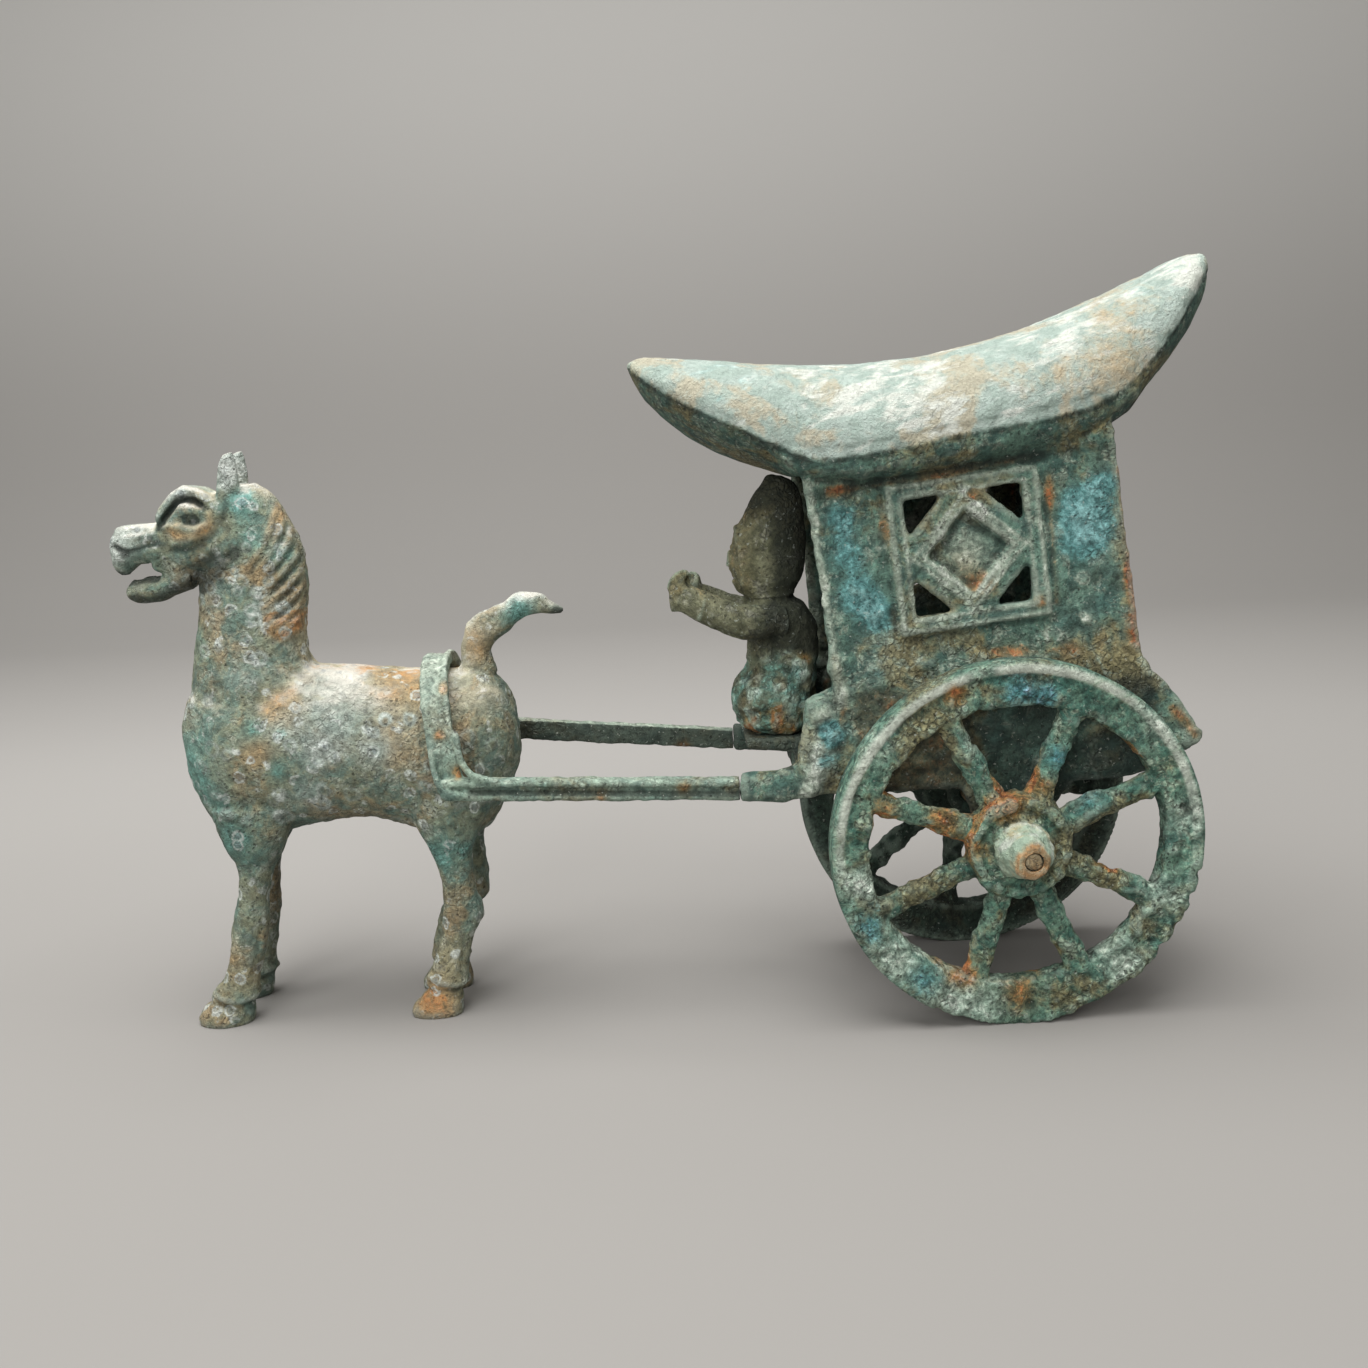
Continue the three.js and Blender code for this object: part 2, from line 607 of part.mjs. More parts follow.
// The felloe: round outside, and slightly oval inside as the casting came out
function felloe() {
  const inner = WHEEL_R - RIM_DEPTH;
  const profile = [
    [WHEEL_R, RIM_HALF], [WHEEL_R, -3.2], [WHEEL_R - 0.9, -RIM_HALF],
    [WHEEL_R - 2.8, -RIM_HALF], [WHEEL_R - 3.5, -3.3],
    [inner + 0.8, -3.3], [inner, -2.4], [inner, RIM_HALF - 0.6], [inner + 0.6, RIM_HALF],
  ];
  const points = [...profile, profile[0]].map(([r, y]) => new THREE.Vector2(r, y));
  const geometry = new THREE.LatheGeometry(points, 40);
  const place = geometry.getAttribute('position');
  for (let i = 0; i < place.count; i += 1) {
    const [x, y, z] = [place.getX(i), place.getY(i), place.getZ(i)];
    const r = Math.hypot(x, z);
    const grow = r < inner + 2 ? 1 + RIM_OVAL * (x / r) ** 2 : 1;
    place.setXYZ(i, x * grow, y, z * grow);
  }
  return solid(geometry);
}

function wheel(spokeTurn, sway, chips) {
  const bore = AXLE_R + GAP + 0.1;
  const hub = lathe([
    [bore, 4.6], [bore, -HUB_TIP], [4.1, -HUB_TIP], [5.6, -13.2], [8.4, -5.8], [10.6, -5.2],
    [11.4, -6.4], [13.2, -6], [14, -4.2], [14, 1.5], [12, 4.6],
  ], 18);
  const [root, end] = [11, WHEEL_R - RIM_DEPTH + 2.9]; // the spokes run into the hub and the felloe
  const offset = -0.4; // they stand this much towards the outside
  const spokes = [];
  for (let i = 0; i < SPOKES; i += 1) {
    const angle = THREE.MathUtils.degToRad(spokeTurn + sway[i] + (360 * i) / SPOKES);
    const [c, s] = [Math.cos(angle), Math.sin(angle)];
    const at = (r) => [r * c, offset, r * s];
    spokes.push(bar([at(root), at(end)], [SPOKE_WIDE, SPOKE_WIDE * 1.05], 6, SPOKE_THICK / SPOKE_WIDE));
  }
  const notches = chips.map(([degrees, size]) => {
    const angle = THREE.MathUtils.degToRad(degrees);
    const r = WHEEL_R + size * 0.35;
    return ellipsoid(r * Math.cos(angle), -RIM_HALF, r * Math.sin(angle), size, size * 1.3, size, 6, 4);
  });
  return cut(union([felloe(), hub, ...spokes]), notches);
}

// Worn and broken places on the near wheel's tread, as [angle in degrees, size]
const NEAR_CHIPS = [[-12, 1.7], [-20, 2.2], [-29, 1.6], [-38, 2.1], [-46, 1.5]];

function nearWheel() {
  return onAxle(wheel(NEAR_SPOKE_TURN, NEAR_SPOKE_SWAY, NEAR_CHIPS).translate(0, -TRACK / 2, 0));
}

function farWheel() {
  return onAxle(wheel(FAR_SPOKE_TURN, FAR_SPOKE_SWAY, []).mirror([0, 1, 0]).translate(0, TRACK / 2, 0));
}

function axle() {
  const reach = TRACK / 2 + HUB_TIP - 0.6;
  return onAxle(cylinderY(0, 0, AXLE_R, -reach, reach, 20));
}

// Bronze with a green patina, in the tone that each piece mostly shows
function bronze(color, roughness = 0.8) {
  return new THREE.MeshStandardMaterial({ color, roughness, metalness: 0.25 });
}

function piece(name, body, material) {
  const { vertProperties, triVerts, numProp } = body.simplify(FACET_MERGE).getMesh();
  const geometry = new THREE.BufferGeometry();
  const flat = Array.from({ length: vertProperties.length / numProp }, (_, i) => [
    ...vertProperties.slice(i * numProp, i * numProp + 3),
  ]).flat();
  geometry.setAttribute('position', new THREE.Float32BufferAttribute(flat, 3));
  geometry.setIndex(Array.from(triVerts));
  geometry.computeVertexNormals();
  const mesh = new THREE.Mesh(geometry, material);
  mesh.name = name;
  return mesh;
}

const ornament = new THREE.Group();
ornament.add(
  piece('horse', horse(), bronze(0x8a9383)),
  piece('carriage', carriage(), bronze(0x7f9a90)),
  piece('driver', driver(), bronze(0x5f6a58)),
  piece('shafts', shafts(), bronze(0x8fa397)),
  piece('axle', axle(), bronze(0x6f6350)),
  piece('wheel_left', nearWheel(), bronze(0x76948a)),
  piece('wheel_right', farWheel(), bronze(0x4f5f57)),
);

// Origin at the middle of the base of the whole bounding box
const box = new THREE.Box3().setFromObject(ornament);
const centre = box.getCenter(new THREE.Vector3());
ornament.position.set(-centre.x, -centre.y, -box.min.z);

export default ornament;
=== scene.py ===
"""Looks of a cast bronze ornament: a horse draws a covered carriage with its driver.

The pieces are built in layout millimetres, from the ground point under the axle, with the
horse towards -X and the near side towards -Y. They are moved to the frame's metres at the end.
"""

import math

import bpy
import numpy as np
from mathutils import Matrix, Vector


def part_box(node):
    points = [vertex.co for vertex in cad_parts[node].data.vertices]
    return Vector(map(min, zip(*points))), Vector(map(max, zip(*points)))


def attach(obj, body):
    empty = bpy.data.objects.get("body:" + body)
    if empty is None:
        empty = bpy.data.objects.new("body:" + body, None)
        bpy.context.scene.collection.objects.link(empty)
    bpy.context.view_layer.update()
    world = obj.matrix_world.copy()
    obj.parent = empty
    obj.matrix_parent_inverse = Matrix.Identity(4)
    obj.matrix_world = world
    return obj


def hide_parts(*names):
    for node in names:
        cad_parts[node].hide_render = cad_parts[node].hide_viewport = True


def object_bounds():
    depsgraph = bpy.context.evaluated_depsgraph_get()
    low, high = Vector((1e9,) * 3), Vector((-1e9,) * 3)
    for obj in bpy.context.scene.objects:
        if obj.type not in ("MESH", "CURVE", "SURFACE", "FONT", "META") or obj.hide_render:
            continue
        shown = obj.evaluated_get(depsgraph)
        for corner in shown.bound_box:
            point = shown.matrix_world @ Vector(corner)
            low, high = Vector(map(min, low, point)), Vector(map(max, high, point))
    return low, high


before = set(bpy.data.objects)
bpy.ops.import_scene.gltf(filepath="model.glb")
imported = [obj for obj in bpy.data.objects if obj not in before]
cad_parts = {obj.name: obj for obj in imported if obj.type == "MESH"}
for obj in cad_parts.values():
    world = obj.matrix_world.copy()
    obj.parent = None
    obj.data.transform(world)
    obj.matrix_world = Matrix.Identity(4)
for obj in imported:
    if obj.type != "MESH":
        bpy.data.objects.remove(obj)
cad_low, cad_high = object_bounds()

MM = 0.001
AXLE_X = -0.8  # the axle's middle in layout millimetres
axle_low, axle_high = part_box("axle")
SHIFT_X = (axle_low.x + axle_high.x) / 2 / MM - AXLE_X
WHEEL_R = 50
TRACK = 64
HUB_TIP = 18
AXLE_R = 2.3
AXLE_SKEW = math.radians(2.4)
LEG_Y = 10.5
MOST_TRIANGLES = 192000  # in one piece


# Repeatable noise and small number helpers


def hashed(ix, iy, iz, seed):
    """A repeatable value from 0 to 1 for each corner of a lattice."""
    h = (ix * 73856093) ^ (iy * 19349663) ^ (iz * 83492791) ^ (seed * 26544357)
    h = ((h ^ (h >> 13)) * 1274126177) & 0x7FFFFFFF
    return ((h ^ (h >> 15)) & 0xFFFFF) / 0xFFFFF


def noise(points, size, seed):
    """Smooth noise from -1 to 1, with lumps about size millimetres wide."""
    q = points / size + 500
    base = np.floor(q).astype(np.int64)
    f = q - base
    f = f * f * (3 - 2 * f)
    total = np.zeros(len(points))
    for dx in (0, 1):
        wx = f[:, 0] if dx else 1 - f[:, 0]
        for dy in (0, 1):
            wy = f[:, 1] if dy else 1 - f[:, 1]
            for dz in (0, 1):
                wz = f[:, 2] if dz else 1 - f[:, 2]
                total += wx * wy * wz * hashed(base[:, 0] + dx, base[:, 1] + dy, base[:, 2] + dz, seed)
    return total * 2 - 1


def smoothstep(value, low, high):
    t = np.clip((value - low) / (high - low), 0, 1)
    return t * t * (3 - 2 * t)


def bell(distance, wide=1.0):
    """1 where there is no distance, falling away over that width."""
    return np.exp(-((distance / wide) ** 2))


def fill_in(keys, rows, at):
    """Rows of numbers at other places between their keys, with no overshoot."""
    keys, rows, at = (np.asarray(a, float) for a in (keys, rows, at))
    span = np.diff(keys)[:, None]
    slope = np.diff(rows, axis=0) / span
    same = slope[:-1] * slope[1:] > 0
    inner = 2 * slope[:-1] * slope[1:] / np.where(same, slope[:-1] + slope[1:], 1)
    tangent = np.vstack([slope[:1], np.where(same, inner, 0), slope[-1:]])
    i = np.clip(np.searchsorted(keys, at, "right") - 1, 0, len(keys) - 2)
    t = np.clip((at - keys[i]) / span[i, 0], 0, 1)[:, None]
    t2, t3, s = t * t, t * t * t, span[i]
    start = (2 * t3 - 3 * t2 + 1) * rows[i] + (t3 - 2 * t2 + t) * s * tangent[i]
    return start + (3 * t2 - 2 * t3) * rows[i + 1] + (t3 - t2) * s * tangent[i + 1]


def profile(pairs, at):
    """Heights of a side-view line, given as (x, z) pairs, at the places along X."""
    pairs = np.asarray(pairs, float)
    return fill_in(pairs[:, 0], pairs[:, 1:], at)[:, 0]


def even_rows(rows, step):
    """The rows of a loft, filled in so that neighbours are about step apart."""
    rows = np.asarray(rows, float)
    keys = np.concatenate([[0], np.cumsum(np.linalg.norm(np.diff(rows, axis=0), axis=1))])
    count = max(int(keys[-1] / step), len(rows))
    at = np.unique(np.concatenate([np.linspace(0, keys[-1], count), keys]))
    return fill_in(keys, rows, at)


# Closed solids as (points, faces), in layout millimetres


def bend(value, power):
    return np.sign(value) * np.abs(value) ** (2 / power)


def skin(rings):
    """Closed skin over a row of rings, as points and quads; the ends close on their middles."""
    count, around = rings.shape[:2]
    points = np.vstack([rings.reshape(-1, 3), rings[0].mean(0), rings[-1].mean(0)])
    k = np.arange(around)
    n = (k + 1) % around
    end, first = (count - 1) * around, count * around
    quads = [np.stack([a + k, a + n, a + around + n, a + around + k], axis=1) for a in range(0, end, around)]
    caps = [np.stack([n, k, 0 * k + first], axis=1), np.stack([end + k, end + n, 0 * k + first + 1], axis=1)]
    return points, np.vstack(quads).tolist() + np.vstack(caps).tolist()


def limb(stations, sides=12, power=2.0, around=40, step=0.8):
    """A limb from its side view, one [x1, z1, x2, z2, half, y] for each station. Its reach is
    that of the plain solid, which has that many sides."""
    rows = [list(s) + [0] * (6 - len(s)) for s in stations]
    x1, z1, x2, z2, half, y = even_rows(rows, step).T[:, :, None]
    corners, angle = (2 * np.pi * (np.arange(n) + 0.5) / n for n in (sides, around))
    across, along = (bend(f(angle), power) * np.abs(bend(f(corners), power)).max() for f in (np.cos, np.sin))
    x = (x1 + x2) / 2 + (x1 - x2) / 2 * along
    z = (z1 + z2) / 2 + (z1 - z2) / 2 * along
    return skin(np.stack([x, y + half * across, z], axis=2))


def bar(points, radii, squash=1.0, around=20, step=0.8):
    """A round bar through points with a radius at each, flattened along Y by squash."""
    rows = even_rows(np.column_stack([points, radii]), step)
    path, radius = rows[:, :3], rows[:, 3, None, None]
    ahead = np.gradient(path, axis=0)
    ahead /= np.linalg.norm(ahead, axis=1, keepdims=True)
    up = np.where(np.abs(ahead[:, 1:2]) > 0.9, [[1.0, 0, 0]], [[0, 1.0, 0]])
    side = np.cross(ahead, up)
    side /= np.linalg.norm(side, axis=1, keepdims=True)
    over = np.cross(side, ahead)
    angle = 2 * np.pi * np.arange(around)[None, :, None] / around
    swing = side[:, None] * np.cos(angle) + over[:, None] * np.sin(angle) * squash
    return skin(path[:, None] + radius * swing)


def ball(x, y, z, rx, ry, rz, around=24, rows=14):
    angle = 2 * np.pi * np.arange(around) / around
    tilt = np.pi * (np.arange(1, rows) / rows)
    ring = np.sin(tilt)[:, None]
    px = x + rx * ring * np.cos(angle)
    py = y + ry * ring * np.sin(angle)
    pz = np.broadcast_to(z + rz * np.cos(tilt)[:, None], px.shape)
    return skin(np.stack([px, py, pz], axis=2))


def lathe(outline, segments=160):
    """A closed ring turned round the Y axis from its (radius, y) outline."""
    r, y = np.asarray(outline, float).T
    angle = 2 * np.pi * np.arange(segments) / segments
    x, z = r[None] * np.cos(angle)[:, None], r[None] * np.sin(angle)[:, None]
    points = np.stack([x, np.broadcast_to(y, x.shape), z], axis=2).reshape(-1, 3)
    count = len(r)
    faces = []
    for i in range(segments):
        a, b = i * count, ((i + 1) % segments) * count
        for k in range(count):
            n = (k + 1) % count
            faces.append([a + k, b + k, b + n, a + n])
    return points, faces


def mesh_points(mesh):
    flat = np.empty(len(mesh.vertices) * 3)
    mesh.vertices.foreach_get("co", flat)
    return flat.reshape(-1, 3)


def node_solid(name):
    """A copy of a CAD node's mesh, in layout millimetres."""
    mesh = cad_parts[name].data
    return mesh_points(mesh) / MM - [SHIFT_X, 0, 0], [list(p.vertices) for p in mesh.polygons]


def new_object(name, data):
    """An object for this data, shown in the scene."""
    made = bpy.data.objects.new(name, data)
    bpy.context.scene.collection.objects.link(made)
    return made


def applied(obj):
    """An object's mesh with its modifiers applied; the object itself is deleted."""
    graph = bpy.context.evaluated_depsgraph_get()
    mesh = bpy.data.meshes.new_from_object(obj.evaluated_get(graph))
    plain = obj.data
    bpy.data.objects.remove(obj)
    bpy.data.meshes.remove(plain)
    return mesh


# One even skin over solids, which can be smoothed, carved, coloured and given painted shade


class Cast:
    """An even skin of quads over one or more closed solids."""

    def __init__(self, solids, voxel, focus=None):
        """Focus is (x, y, z, reach, gain): the skin is finer round that point."""
        faces, start = [], 0
        for points, solid_faces in solids:
            faces += [[start + v for v in f] for f in solid_faces]
            start += len(points)
        points = np.vstack([points for points, _ in solids])
        if focus:
            points = self.spread(points, focus)
        mesh = bpy.data.meshes.new("work")
        mesh.from_pydata(points.tolist(), [], faces)
        mesh.validate()
        work = new_object("work", mesh)
        even = work.modifiers.new("even", "REMESH")
        even.mode = "VOXEL"
        even.voxel_size = voxel
        made = applied(work)
        self.p = mesh_points(made)
        loops = np.empty(len(made.loops), np.int32)
        made.loops.foreach_get("vertex_index", loops)
        self.quads = loops.reshape(-1, 4)
        bpy.data.meshes.remove(made)
        if focus:
            self.p = self.spread(self.p, focus, back=True)
        self.tone = np.zeros((len(self.p), 4))
        self.pale, self.blue, self.rust, self.dark = self.tone.T
        self.cover = None
        self.facing()

    @staticmethod
    def spread(points, focus, back=False):
        """Spaces the points out round the focus, or draws them back again."""
        *centre, reach, gain = focus
        table = np.linspace(0, 400, 8000)
        wider = table * (1 + gain * bell(table, reach))
        r = np.linalg.norm(points - centre, axis=1).clip(1e-6)
        new = np.interp(r, wider, table) if back else np.interp(r, table, wider)
        return centre + (points - centre) * (new / r)[:, None]

    def facing(self):
        """Works out the normals."""
        p, q = self.p, self.quads
        face = np.cross(p[q[:, 2]] - p[q[:, 0]], p[q[:, 3]] - p[q[:, 1]])
        total = np.zeros_like(p)
        for k in range(4):
            for axis in range(3):
                total[:, axis] += np.bincount(q[:, k], face[:, axis], len(p))
        self.n = total / np.linalg.norm(total, axis=1, keepdims=True).clip(1e-9)

    def even_out(self, values):
        """Each point's value averaged over its neighbours."""
        q, count = self.quads, len(self.p)
        values = values.reshape(count, -1)
        total, share = np.zeros_like(values), np.zeros(count)
        for k in range(4):
            for near in (q[:, (k + 1) % 4], q[:, (k + 3) % 4]):
                share += np.bincount(q[:, k], None, count)
                for axis in range(values.shape[1]):
                    total[:, axis] += np.bincount(q[:, k], values[near, axis], count)
        return total / share.clip(1)[:, None]

    def smooth(self, rounds, weight=0.5):
        """Draws each point towards its neighbours; weight may differ from point to point."""
        weight = np.broadcast_to(np.asarray(weight, float), (len(self.p),))[:, None]
        for _ in range(rounds):
            self.p = self.p + (self.even_out(self.p) - self.p) * weight
        self.facing()

    def fillet(self, rounds, strength=3.0):
        """Smooths hollow joins between forms more than the forms themselves."""
        for _ in range(rounds):
            drift = self.even_out(self.p) - self.p
            hollow = (drift * self.n).sum(1)
            weight = np.clip(hollow * strength, 0.02, 0.9)[:, None]
            self.p = self.p + drift * weight
        self.facing()

    def push(self, amount):
        """Moves the points along their normals."""
        self.p = self.p + self.n * amount[:, None]

    def near_line(self, line, axes=(0, 2)):
        """Distance from each point to a line in one view, and the share along that line."""
        line = np.asarray(line, float)
        flat = self.p[:, axes]
        best, share = np.full(len(flat), np.inf), np.zeros(len(flat))
        lengths = np.linalg.norm(np.diff(line, axis=0), axis=1)
        gone = 0.0
        for a, b, length in zip(line[:-1], line[1:], lengths):
            t = np.clip(((flat - a) @ (b - a)) / length**2, 0, 1)
            d = np.linalg.norm(flat - (a + t[:, None] * (b - a)), axis=1)
            closer = d < best
            best[closer] = d[closer]
            share[closer] = (gone + t[closer] * length) / lengths.sum()
            gone += length
        return best, share

    def sided(self, side, axis=1, edge=0.15):
        """1 where the surface faces that side, falling to 0 where it turns away."""
        return smoothstep(self.n[:, axis] * side, edge - 0.1, edge + 0.25)

    def clouds(self, size, seed, low, high):
        """1 in the lumps of a noise and 0 between them."""
        return smoothstep(noise(self.p, size, seed), low, high)

    def stroke(self, line, wide, high, side=-1, axes=(0, 2), axis=1, taper=0.12, keep=1.0):
        """A ridge, or with a negative height a groove, along a line in one view."""
        d, t = self.near_line(line, axes)
        ends = smoothstep(np.minimum(t, 1 - t), -0.02, taper)
        self.push(high * bell(d, wide) * ends * self.sided(side, axis) * keep)

    def lump(self, x, z, wide, high, side=-1, axes=(0, 2), axis=1, long=None, turn=0.0):
        """A rounded lump, or with a negative height a pit."""
        dx, dz = self.p[:, axes[0]] - x, self.p[:, axes[1]] - z
        c, s = math.cos(turn), math.sin(turn)
        away = np.hypot((dx * c + dz * s) / (long or wide), (dz * c - dx * s) / wide)
        self.push(high * bell(away) * self.sided(side, axis))

    def rough(self, size, high, seed, where=1.0):
        """Cast and corroded unevenness."""
        self.push(noise(self.p, size, seed) * high * where)

    def nodules(self, count, seed, low, high, size, rise, pale):
        """Round warts of corrosion with pale rims, scattered between two corners of a side view."""
        spread = np.random.default_rng(seed)
        uneven = 1 + 0.25 * noise(self.p, 1.6, seed + 1)
        for _ in range(count):
            x, z = spread.uniform(low[0], high[0]), spread.uniform(low[1], high[1])
            radius, side = spread.uniform(*size), spread.choice((-1, 1))
            d = np.hypot(self.p[:, 0] - x, self.p[:, 2] - z) * uneven
            facing = self.sided(side)
            self.push(rise * (np.exp(-((d / radius) ** 4)) - 0.5 * bell(d, radius / 2.2)) * facing)
            self.pale += pale * bell(d - radius, 0.6) * facing

    def stain_and_shade(self, tone, spots, facing=1.0):
        """Adds to one of the tones (0 pale, 1 blue, 2 rust, 3 dark) round (x, z, radius, amount)."""
        for x, z, radius, amount in spots:
            away = np.hypot(self.p[:, 0] - x, self.p[:, 2] - z)
            self.tone[:, tone] += amount * bell(away, radius) * facing

    def stain_and_shade_sides(self, spots, lines):
        """Adds tones to both sides, as real colour and as painted shade, from (tone, spots) and from (tone,
        line, width, amount).
        """
        facing = self.sided(-1, edge=0.0) + self.sided(1, edge=0.0)
        for tone, places in spots:
            self.stain_and_shade(tone, places, facing)
        for tone, line, wide, amount in lines:
            self.tone[:, tone] += amount * bell(self.near_line(line)[0], wide) * facing

    def relief(self):
        """How much each point stands out of its surroundings: near 0.5 on an even surface."""
        drift = ((self.even_out(self.p) - self.p) * self.n).sum(1)
        for _ in range(3):
            drift = self.even_out(drift)[:, 0]
        return np.clip(0.5 - drift * 7, 0, 1)

    def build(self, name, node, body, material):
        """The finished piece, in the frame's metres and inside the CAD box."""
        self.facing()
        relief = self.relief()
        points = np.clip((self.p + [SHIFT_X, 0, 0]) * MM, np.array(cad_low), np.array(cad_high))
        mesh = bpy.data.meshes.new(name)
        quads = len(self.quads)
        mesh.vertices.add(len(points))
        mesh.vertices.foreach_set("co", points.astype(np.float32).ravel())
        mesh.loops.add(quads * 4)
        mesh.loops.foreach_set("vertex_index", self.quads.astype(np.int32).ravel())
        mesh.polygons.add(quads)
        mesh.polygons.foreach_set("loop_start", np.arange(0, quads * 4, 4, dtype=np.int32))
        mesh.update(calc_edges=True)
        tone = mesh.attributes.new("tone", "FLOAT_COLOR", "POINT")
        tone.data.foreach_set("color", np.clip(self.tone, 0, 2).astype(np.float32).ravel())
        for title, values in (("relief", relief), ("cover", self.cover)):
            if values is not None:
                layer = mesh.attributes.new(title, "FLOAT", "POINT")
                layer.data.foreach_set("value", values.astype(np.float32))
        obj = new_object(name, mesh)
        if quads * 2 > MOST_TRIANGLES:
            thin = obj.modifiers.new("thin", "DECIMATE")
            thin.ratio = MOST_TRIANGLES / (quads * 2)
            mesh = applied(obj)
            mesh.name = name
            obj = new_object(name, mesh)
        mesh.polygons.foreach_set("use_smooth", [True] * len(mesh.polygons))
        mesh.materials.append(material)
        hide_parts(node)
        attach(obj, body)


# Patina: bronze under layers of green, pale and blue crust, rust, dark grime and painted shade

# The dark of grime, cracks and pits, used for painted shade as well
GRIME_AND_SHADE = "#18211c"


def tint(code):
    """Linear colour of an #rrggbb code."""
    parts = [int(code[i : i + 2], 16) / 255 for i in (1, 3, 5)]
    return [c / 12.92 if c <= 0.04045 else ((c + 0.055) / 1.055) ** 2.4 for c in parts] + [1.0]


class Paint:
    """A node material that is put together in layers. Lengths are millimetres, and any value may
    be a number, a colour code or the output of another node."""

    def __init__(self, name):
        self.material = bpy.data.materials.new(name)
        self.material.use_nodes = True
        self.tree = self.material.node_tree
        self.shader = self.tree.nodes["Principled BSDF"]
        place = self.node("TexCoord").outputs["Object"]
        self.place = self.node("Mapping", {"Vector": place, "Scale": (1 / MM,) * 3}).outputs["Vector"]

    def put(self, socket, value):
        if isinstance(value, bpy.types.NodeSocket):
            self.tree.links.new(value, socket)
        else:
            socket.default_value = tint(value) if isinstance(value, str) else value

    def node(self, kind, inputs=None, **settings):
        """A new node with its settings, and with values or links in its inputs."""
        made = self.tree.nodes.new("ShaderNode" + kind)
        for name, value in settings.items():
            setattr(made, name, value)
        for socket, value in (inputs or {}).items():
            self.put(made.inputs[socket], value)
        return made

    def noise(self, size, seed=0.0, detail=3.0, rough=0.55, bent=0.0, place=None, output=0):
        inputs = {"Vector": place or self.place, "W": seed, "Scale": 1 / size, "Detail": detail}
        inputs.update({"Roughness": rough, "Distortion": bent})
        return self.node("TexNoise", inputs, noise_dimensions="4D").outputs[output]

    def wander(self, reach, size, seed=0.0):
        """The place moved about by noise, which makes cells irregular."""
        way = self.noise(size, seed, 2, 0.5, output="Color")
        inputs = {0: way, 1: (reach,) * 3, 2: self.place}
        return self.node("VectorMath", inputs, operation="MULTIPLY_ADD").outputs["Vector"]

    def brushed(self, along=2.4, tilt=-0.35):
        """The place drawn out along one direction, for strokes that rise towards the back."""
        inputs = {"Vector": self.place, "Rotation": (0, tilt, 0), "Scale": (along, 1, 0.8)}
        return self.node("Mapping", inputs, vector_type="TEXTURE").outputs["Vector"]

    def cells(self, place, size, feature="F1"):
        """Distance from the middle, or from the edge, of irregular cells."""
        inputs = {"Vector": place, "Scale": 1 / size}
        return self.node("TexVoronoi", inputs, feature=feature).outputs["Distance"]

    def step(self, value, low, high):
        """0 at low and 1 at high, with a smooth rise or fall between them."""
        inputs = {"Value": value, "From Min": low, "From Max": high}
        return self.node("MapRange", inputs, interpolation_type="SMOOTHSTEP").outputs["Result"]

    def sum(self, a, b, scale=1.0):
        """a + b * scale."""
        return self.node("Math", {0: b, 1: scale, 2: a}, operation="MULTIPLY_ADD").outputs[0]

    def times(self, value, *others):
        for other in others:
            value = self.node("Math", {0: value, 1: other}, operation="MULTIPLY").outputs[0]
        return value

    def mix(self, share, a, b, mode="MIX"):
        return self.node("Mix", {0: share, 6: a, 7: b}, data_type="RGBA", blend_type=mode).outputs[2]

    def coat(self, under, share, strength, over):
        """A colour under a coat, which hides it by its share times its strength."""
        return self.mix(self.times(share, strength), under, over)


